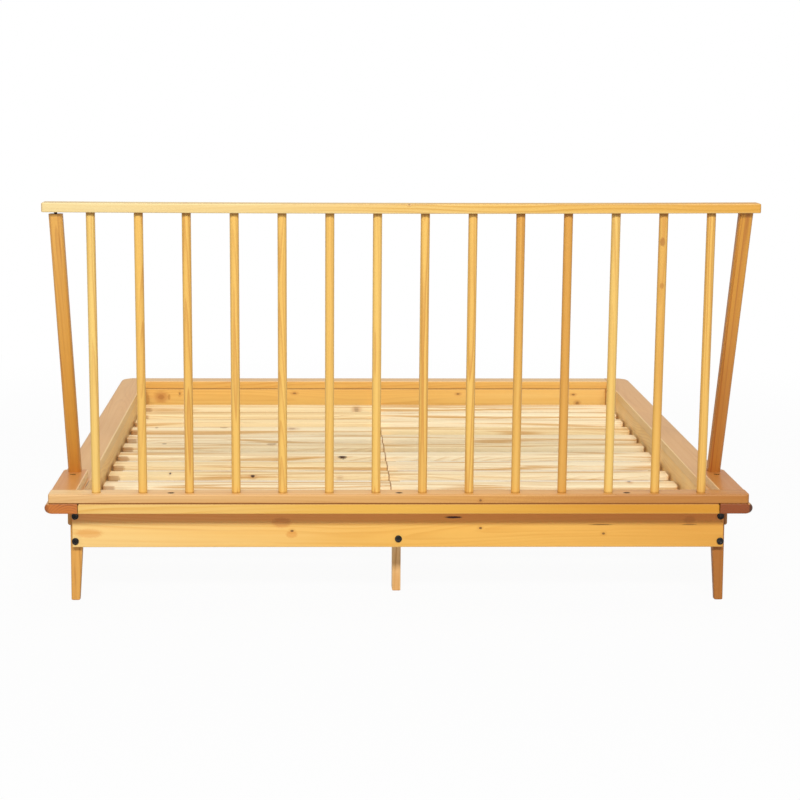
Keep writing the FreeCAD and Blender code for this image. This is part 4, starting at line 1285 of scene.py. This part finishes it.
@dataclass
class Fasteners:
    """The bolts and screws that show, and the finishes of those that hardly do."""

    bolt: Screw = Screw(8 * MM, 84 * MM, 17 * MM, 4 * MM, 8 * MM)
    screw: Screw = Screw(5 * MM, 26 * MM, 11 * MM, 5 * MM, 5 * MM)
    columns: tuple[float, ...] = (-0.784, 0.784)
    heights: tuple[float, ...] = (0.151, 0.213)
    middle_height: float = 0.157

    def build(self) -> None:
        """Builds the black heads and dresses the model's own pins, nuts, studs and dowels."""
        black = Metal("black_coated_steel", "171615", "4A4846", 0.5, 0.26).material()
        zinc = Metal("zinc_plated_steel", "A6A7A8", "C2C2C0", 1.0, 0.34).material()
        spots = [(x, z) for x in self.columns for z in self.heights] + [(0.0, self.middle_height)]
        shells = [self.bolt.rings((x, face, z), (0, way, 0))
                  for face, way in ((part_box("head_apron")[0][1], -1),
                                    (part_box("foot_apron")[1][1], 1)) for x, z in spots]
        self._piece("bolt_heads", shells, black, "frame_bolts")
        base_low, base_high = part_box("headboard_base_rail")
        arm_low, arm_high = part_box("headboard_arm_right")
        arm_x = (arm_low[0] + arm_high[0]) / 2
        places = [(x, base_low[1] + SCREW_INSET) for x in SCREW_PLACES]
        places += [(side * arm_x, arm_low[1] + ARM_SCREW_INSET) for side in (-1, 1)]
        seat = base_high[2] - Headboard.bore_deep
        shells = [self.screw.rings((x, y, seat), (0, 0, 1)) for x, y in places]
        self._piece("headboard_screw_heads", shells, black, "headboard_screws")
        wooden = Beech().material()
        for node, material in (("post_pins", black), ("barrel_nuts", zinc),
                               ("centre_leg_studs", zinc), ("ledger_screws", zinc),
                               ("ring_dowels", wooden), ("arm_dowels", wooden)):
            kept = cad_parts[node]
            kept.data.materials.clear()
            kept.data.materials.append(material)

    @staticmethod
    def _piece(name: str, shells: list[np.ndarray], material: bpy.types.Material,
               node: str) -> None:
        """Makes one piece of several fasteners."""
        still = Grain((0, 0, 0), (1, 0, 0), (0, 1, 0), (0, 0, 1), (1, 1, 1), 1, 0.0)
        Piece(name, [Part(rings, still) for rings in shells], material, (node,),
              Slot.BLACK).build()


# The room


@dataclass
class Studio:
    """The pale floor, the soft lamps and the camera."""

    lens: float = 101.66
    pitch: float = 8.383
    yaw: float = 0.8
    shift: float = 0.0664
    roll: float = -0.135
    eye: Vec = (-0.203, -6.405, 1.291)
    room_light: float = 0.32
    floor_half: float = 30.0
    floor_grey: float = 0.62
    floor_white: float = 0.95
    fade: tuple[float, float] = (1.7, 4.0)
    gloss: float = 0.35

    def build(self) -> None:
        """Sets up everything round the object."""
        self._camera()
        self._floor()
        self._world()
        self._lamp("key_box", place=(-0.4, -11.5, 7.0), aim=(0.0, -0.5, 0.3), span=(8.0, 1.6),
                   power=1450.0)
        self._lamp("top_box", place=(0.0, 0.4, 4.6), aim=(0.0, 0.1, 0.2), span=(5.0, 5.0),
                   power=90.0)
        bpy.context.scene.view_settings.view_transform = "Standard"

    def _camera(self) -> None:
        """Places the camera where the photograph was taken from."""
        lens = bpy.data.cameras.new("camera")
        lens.lens = self.lens
        lens.sensor_width = 36.0
        lens.shift_x = self.shift
        lens.clip_end = 60.0
        camera = hang("camera", lens)
        camera.location = self.eye
        camera.rotation_euler = (math.radians(90 - self.pitch), math.radians(self.roll),
                                 math.radians(-self.yaw))
        bpy.context.scene.camera = camera

    def _seen(self, desk: Desk) -> Wire:
        """Gives 1 for rays that show the background, and less for those that a gloss sends out."""
        node = desk.node("ShaderNodeLightPath").socket.node
        camera, gloss = (Wire(desk, node.outputs[name])
                         for name in ("Is Camera Ray", "Is Glossy Ray"))
        return desk.maths("MAXIMUM", camera, gloss * self.gloss)

    def _floor(self) -> None:
        """Lays a pale floor that keeps the object's soft shadow and fades to white away from it."""
        half, near = self.floor_half, self.floor_white
        mesh = bpy.data.meshes.new("floor")
        mesh.from_pydata([(-half, -half, 0), (half, -half, 0), (half, half, 0), (-half, half, 0)],
                         [], [(0, 1, 2, 3)])
        floor = hang("floor", mesh)
        desk = Desk.material("pale_floor")
        away = desk.length(desk.place())
        plain = desk.node("ShaderNodeBsdfDiffuse", None, {"Color": (*(self.floor_grey,) * 3, 1.0)})
        white = desk.node("ShaderNodeEmission", None, {"Color": (1, 1, 1, 1), "Strength": 1.0})
        share = self._seen(desk) * (near + desk.step(away, *self.fade) * (1 - near))
        mixed = desk.node("ShaderNodeMixShader", None, {0: share, 1: plain, 2: white})
        desk.node("ShaderNodeOutputMaterial", None, {"Surface": mixed})
        mesh.materials.append(desk.owner)

    def _world(self) -> None:
        """Lights the room softly from all round, and shows it white."""
        world = bpy.data.worlds.new("room")
        bpy.context.scene.world = world
        world.use_nodes = True
        desk = Desk(world.node_tree, world)
        room = desk.node("ShaderNodeBackground", None,
                         {"Color": (1.0, 0.99, 0.97, 1.0), "Strength": self.room_light})
        white = desk.node("ShaderNodeBackground", None, {"Color": (1, 1, 1, 1), "Strength": 1.0})
        mixed = desk.node("ShaderNodeMixShader", None, {0: self._seen(desk), 1: room, 2: white})
        desk.node("ShaderNodeOutputWorld", None, {"Surface": mixed})

    @staticmethod
    def _lamp(name: str, place: Vec, aim: Vec, span: tuple[float, float], power: float) -> None:
        """Hangs a soft rectangular lamp.

        Args:
            name: Its name.
            place: Where it hangs.
            aim: What it faces.
            span: Its width and height.
            power: Its power in watts.
        """
        light = bpy.data.lights.new(name, "AREA")
        light.shape = "RECTANGLE"
        light.size, light.size_y = span
        light.energy = power
        lamp = hang(name, light)
        lamp.location = place
        away = np.array(place) - np.array(aim)
        flat = math.hypot(away[0], away[1])
        lamp.rotation_euler = (math.atan2(flat, away[2]), 0.0, math.atan2(away[0], -away[1]))


def main() -> None:
    """Builds the whole bed and its studio."""
    logging.basicConfig(level=logging.INFO, format="%(message)s")
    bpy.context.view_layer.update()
    for assembly in (Ring(), Rails(), Legs(), SlatBase(), Headboard(), Fasteners(), Studio()):
        assembly.build()
        LOG.info("built: %s", type(assembly).__name__)


if __name__ == "__main__":
    main()
